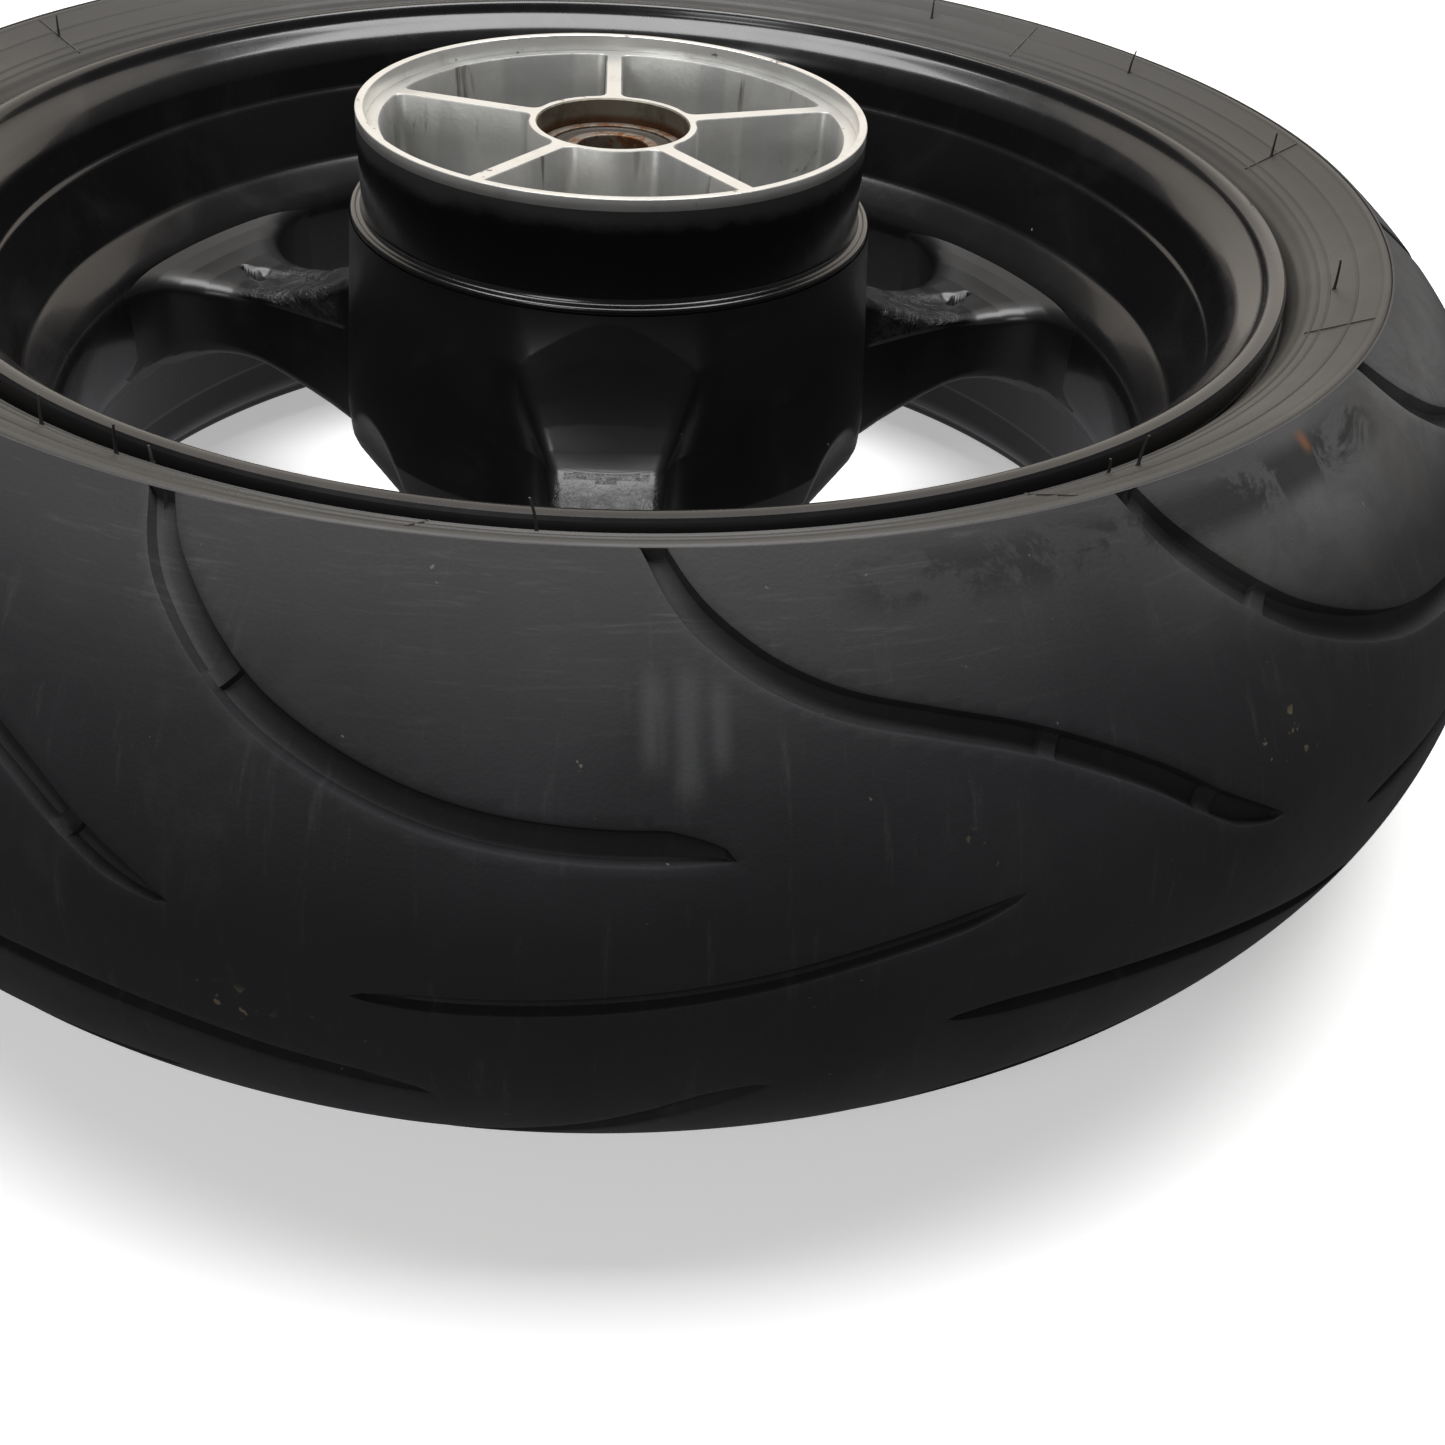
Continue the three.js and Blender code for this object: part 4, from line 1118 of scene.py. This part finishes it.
def make_cush_drive(cavity, machined):
    chamfer = 0.45
    outlines = [pocket_outline(angle + 36, -chamfer) for angle in VANES]
    plate = holed_plate([circle(84.2, 240), circle(26.75, 96)] + outlines, LEDGE, 1)
    face = new_object("cush_drive_machined_face", *plate, machined, smooth_angle=30)
    casting_piece(face)
    parts = []
    steps = [(-chamfer, LEDGE), (0, LEDGE - chamfer), (0.5, LEDGE - 14), (1.1, LEDGE - 30),
             (1.7, POCKET_FLOOR + 4.5), (2.3, POCKET_FLOOR + 2.2), (3.6, POCKET_FLOOR + 0.7),
             (5.6, POCKET_FLOOR)]
    for angle in VANES:
        loops = [(pocket_outline(angle + 36, inset), w) for inset, w in steps]
        parts.append(wall(loops, cap=True, flip=True))
    pockets = new_object("cush_drive_pockets", *merge(parts), cavity, smooth_angle=50)
    casting_piece(pockets)
    # The ring round the mouth: bare machined outside edge, top, and inside down to the ledge.
    mouth = eased([(87.38, 106.5, 0), (87.38, HUB_TOP, 0.5), (84.5, HUB_TOP, 0.5), (84.2, LEDGE - 0.6, 0.2),
                   (86.9, LEDGE - 0.6, 0)], 0.4, 3)
    casting_piece(turned("hub_mouth_edge", mouth[::-1], machined, 240, smooth_angle=30))
    # The bearing bore under the ledge, open at both ends.
    bore = [(26.75, LEDGE + 0.02), (26.3, LEDGE - 0.5), (26.3, 82.4), (22.2, 81.9), (22.0, 81.4),
            (22.0, -50.5), (26.3, -51), (26.3, -71.5), (26.8, -72)]
    bore_piece = turned("hub_bore", bore, machined_bore_material(), 96, closed=False)
    casting_piece(bore_piece)


def make_hub_shell(paint):
    """The painted outside of the hub from the lip upwards, and the lip's double line."""
    shell = eased([(90.0, 70.5, 0), (91.5, 75.2, 0.5), (91.45, 77.0, 0.7), (89.9, 77.5, 0.4),
                   (89.3, 76.9, 0.3), (88.0, 77.3, 0.5), (87.35, 78.6, 0.8), (87.4, 92, 0),
                   (87.4, 107.0, 0), (84.5, 107.0, 0), (84.5, 70.5, 0)], 0.4, 3)
    casting_piece(turned("hub_upper_shell", shell[::-1], paint, 300, smooth_angle=30))


def make_disc_end(paint, machined):
    """The disc side of the hub: a machined face with threaded holes and round core openings."""
    base = -72.0
    holes = [polar(HOLE_CIRCLE, math.radians(18 + 72 * i)) for i in range(5)]
    cores = [polar(CORE_CIRCLE, math.radians(54 + 72 * i)) for i in range(5)]

    def ring_at(centre, radius, count):
        return [(centre[0] + x, centre[1] + y) for x, y in circle(radius, count)]

    loops = [circle(61.2, 160), circle(26.8, 96)]
    loops += [ring_at(centre, HOLE_MOUTH, HOLE_SIDES) for centre in holes]
    loops += [ring_at(centre, CORE_MOUTH, CORE_SIDES) for centre in cores]
    casting_piece(new_object("disc_face", *holed_plate(loops, base, -1), machined))
    parts = []
    for centre in holes:
        thread = [(3.6 if i % 2 == 0 else 4.0, 1.1 + 0.62 * i) for i in range(9)]
        steps = [(HOLE_MOUTH, 0), (4.0, 0.5)] + thread + [(3.5, 9)]
        parts.append(wall([(ring_at(centre, r, HOLE_SIDES), base + up) for r, up in steps], cap=True))
    for centre in cores:
        steps = [(CORE_MOUTH, 0), (6.0, 0.7), (6.0, 13)]
        parts.append(wall([(ring_at(centre, r, CORE_SIDES), base + up) for r, up in steps], cap=True))
    casting_piece(new_object("disc_holes", *merge(parts), machined, smooth_angle=40))
    flange = [(61.2, base), (62.0, base + 0.8), (62.0, -62), (63.5, -58), (67, -53.5), (60, -52)]
    casting_piece(turned("disc_flange", flange, paint, 160, closed=False, smooth_angle=40))


# ---------------------------------------------------------------- bearings and hub inners

# The bearings' heights, and the shape that both share.
UPPER, LOWER = 89.5, -58.5
BEARING_HALF = 7.5
TRACK_HALF, TRACK_DEPTH = 3.4, 4.15
BALL_COUNT = 9
BALL_RADIUS = 3.85
BALL_CIRCLE = 19.25
# A bearing's rubber seal: radius, and height from the bearing's middle.
SEAL_SECTION = ((16.6, 5.9), (16.5, 6.9), (18.2, 7.1), (18.8, 6.7), (20.8, 6.7), (21.2, 7.1), (21.9, 7.0),
                (21.9, 5.9))


def race(face, shoulder, middle):
    """A bearing ring's section, from the face in the hub or on the tube to the track for the balls."""
    half = BEARING_HALF
    side = 1 if face > shoulder else -1
    return eased([
        (face, middle - half, 0.6), (face, middle + half, 0.6), (shoulder, middle + half, 0.3),
        (shoulder, middle + TRACK_HALF, 0.2), (BALL_CIRCLE + side * TRACK_DEPTH, middle, 1.5),
        (shoulder, middle - TRACK_HALF, 0.2),
        (shoulder, middle - half, 0.3),
    ], 0.4, 3)


def ordered(outline):
    """The outline run so that a lathe of it faces outwards."""
    p = np.asarray(outline, float)
    area = (p[:, 0] * np.roll(p[:, 1], -1) - np.roll(p[:, 0], -1) * p[:, 1]).sum()
    return p if area < 0 else p[::-1]


def make_bearings():
    steel = bearing_material()
    rubber = plain_rubber("bearing_seal_rubber", (0.03, 0.022, 0.016))
    ball_steel = plain_metal("ball_steel", (0.8, 0.81, 0.83), 0.12)
    cage_steel = plain_metal("cage_steel", (0.5, 0.5, 0.47), 0.4)
    for place, middle in (("upper", UPPER), ("lower", LOWER)):
        outer = turned(f"outer_ring_{place}", ordered(race(26.0, 22.3, middle)), steel, 96)
        finish_piece(outer, nodes=[f"bearing_outer_ring_{place}"])
        inner = turned(f"inner_ring_{place}", ordered(race(12.5, 16.2, middle)), steel, 96)
        finish_piece(inner, "axle_core", [f"bearing_inner_ring_{place}"])
        for side, end in ((1, "top"), (-1, "bottom")):
            profile = [(r, middle + side * w) for r, w in SEAL_SECTION]
            seal = turned(f"ring_seal_{place}_{end}", ordered(eased(profile, 0.25, 2)), rubber, 96)
            finish_piece(seal, nodes=[f"bearing_seal_{place}_{end}"])
        dress(f"bearing_cage_{place}", cage_steel)
        for i in range(BALL_COUNT):
            mesh = bpy.data.meshes.new("ball")
            work = bmesh.new()
            bmesh.ops.create_icosphere(work, subdivisions=3, radius=BALL_RADIUS * MM)
            work.to_mesh(mesh)
            work.free()
            mesh.materials.append(ball_steel)
            mesh.polygons.foreach_set("use_smooth", np.ones(len(mesh.polygons), bool))
            ball = bpy.data.objects.new(f"ball_{place}_{i + 1}", mesh)
            x, y = polar(BALL_CIRCLE, 2 * math.pi * i / BALL_COUNT)
            ball.location = Vector((x, y, MID + middle)) * MM
            bpy.context.scene.collection.objects.link(ball)
            finish_piece(ball, f"cage_{place}", [f"bearing_ball_{place}_{i + 1}"])


def make_hub_inners():
    tube = eased([(12.75, -50.7, 0.3), (16, -50.7, 0.8), (16, 81.7, 0.8), (12.75, 81.7, 0.3)], 0.5, 3)
    spacer = turned("spacer_tube", ordered(tube), plain_metal("spacer_steel", (0.34, 0.33, 0.3), 0.45), 96)
    finish_piece(spacer, "axle_core", ["axle_spacer_tube"])
    lip = eased([(16.9, -67.4, 0.3), (17.6, -67.2, 0.2), (19.5, -68.6, 0.4), (23, -68.6, 0.4),
                 (24, -66.4, 0.4), (26.0, -66.4, 0.4), (26.0, -71.2, 0.5), (21.5, -71.3, 0.5),
                 (20.2, -70.4, 0.4), (18.6, -71.0, 0.3)], 0.3, 3)
    seal = turned("dust_seal", ordered(lip), plain_rubber("dust_seal_rubber"), 96)
    finish_piece(seal, nodes=["dust_seal_lower"])


# ---------------------------------------------------------------- air valve

def valve_turned(name, outline, material, segments=48, ribs=0, rib_depth=0.0):
    """A lathe about the valve's axis: outline points are (radius, distance from the spin axis)."""
    outline = np.asarray(ordered(outline))
    angle = np.linspace(0, 2 * math.pi, segments, endpoint=False)
    shape = 1 - (rib_depth * (np.cos(angle * ribs) > 0.2) if ribs else 0 * angle)
    r = outline[None, :, 0] * np.where(outline[None, :, 0] > 4.6, shape[:, None], 1)
    x, z = r * np.cos(angle)[:, None], r * np.sin(angle)[:, None]
    y = np.broadcast_to(outline[None, :, 1], x.shape)
    verts = np.stack([x, y, MID + z], -1).reshape(-1, 3)
    faces = grid_faces(segments, len(outline), True)[:, ::-1]
    return new_object(name, verts, faces, material)


def threaded(radius, start, end, pitch, depth):
    points, at = [], start
    while at + pitch < end:
        points += [(radius - depth, at), (radius, at + pitch / 2)]
        at += pitch
    return points


def make_valve(paint):
    nickel = plain_metal("valve_nickel", (0.62, 0.61, 0.58), 0.3)
    brass = plain_metal("valve_brass", (0.62, 0.44, 0.18), 0.3)
    rubber = plain_rubber("valve_rubber")
    stem = [(2.3, 158), (3.2, 158), (3.6, 158.6)] + threaded(3.95, 159.2, 199, 0.8, 0.32)
    stem += [(4.0, 200.6), (4.2, 201.0), (7.0, 201.0), (7.5, 201.5), (7.5, 202.7), (7.0, 203.2),
             (2.3, 203.2)]
    finish_piece(valve_turned("stem", stem, nickel), nodes=["valve_stem"])
    grommet = eased([(4.35, 198.3, 0.2), (7.4, 198.3, 0.8), (7.4, 200.7, 0.8), (4.35, 200.7, 0.2)], 0.4, 3)
    finish_piece(valve_turned("grommet", grommet, rubber), nodes=["valve_grommet"])
    washer = eased([(4.35, 189.5), (8, 189.5), (8, 190.7), (4.35, 190.7)], 0.25, 2)
    finish_piece(valve_turned("washer", washer, nickel), nodes=["valve_washer"])
    boss = eased([(4.3, 190.95, 0.2), (9.6, 190.95, 0.8), (11.5, 194.5, 1), (12.5, 197, 0),
                  (4.3, 197, 0)], 0.5, 3)
    casting_piece(valve_turned("valve_boss", boss, paint))
    make_nut(nickel)
    cap = [(0.02, 155), (3.9, 155), (4.7, 155.5), (5.1, 156.4), (5.1, 157.4), (5.35, 157.8), (5.35, 168.2),
           (5.1, 169.0), (4.35, 169.0), (4.35, 156.5), (0.02, 156.5)]
    black = plain_rubber("cap_plastic", (0.014, 0.014, 0.015), 0.42)
    finish_piece(valve_turned("dust_cap", cap, black, 96, 16, 0.05), "cap", ["valve_cap"])
    dress("valve_core_body", brass)
    dress("valve_core_pin", brass)
    dress("valve_core_seal", rubber)
    dress("valve_cap_seal", rubber)


def make_nut(material):
    """A hexagon with chamfered corners and a round hole."""
    count = 72
    across = 6.0
    # Along the valve: distance from the spin axis, the largest radius, and whether it is the hole.
    section = ((184.6, 6.05, 0), (185.2, 7.0, 0), (188.6, 7.0, 0), (189.2, 6.05, 0), (189.2, 4.3, 1),
               (184.6, 4.3, 1))

    def hexagon(a, size):
        folded = (a + math.pi / 6) % (math.pi / 3) - math.pi / 6
        return size / math.cos(folded)

    verts, faces = [], []
    for y, limit, hole in section:
        for i in range(count):
            a = 2 * math.pi * i / count
            r = limit if hole else min(hexagon(a, across), limit)
            verts.append((r * math.cos(a), y, MID + r * math.sin(a)))
    rows = len(section)
    for i in range(rows):
        for j in range(count):
            a, b = i * count + j, i * count + (j + 1) % count
            c, d = ((i + 1) % rows) * count + (j + 1) % count, ((i + 1) % rows) * count + j
            faces.append((a, d, c, b))
    finish_piece(new_object("stem_nut", verts, faces, material), nodes=["valve_nut"])


# ---------------------------------------------------------------- the tyre's hidden layers

def dress_hidden_layers():
    cord, wire = cord_material(), plain_metal("bead_wire", (0.5, 0.38, 0.24), 0.35)
    filler = plain_rubber("filler_rubber", (0.014, 0.014, 0.014))
    dressing = {"belt_ply": cord, "carcass_ply": cord, "bead_core_upper": wire, "bead_core_lower": wire,
                "bead_filler_upper": filler, "bead_filler_lower": filler}
    for node, material in dressing.items():
        dress(node, material)


add_camera()
add_studio()
make_tread()
make_sidewalls()
make_mould_lines()
make_hairs()
paint_black = paint_material()
bare_metal = machined_material()
make_rim(barrel_paint_material())
make_casting_body(paint_black)
make_cush_drive(cavity_material(), bare_metal)
make_hub_shell(hub_paint_material())
make_disc_end(paint_black, bare_metal)
make_bearings()
make_hub_inners()
make_valve(paint_black)
dress_hidden_layers()
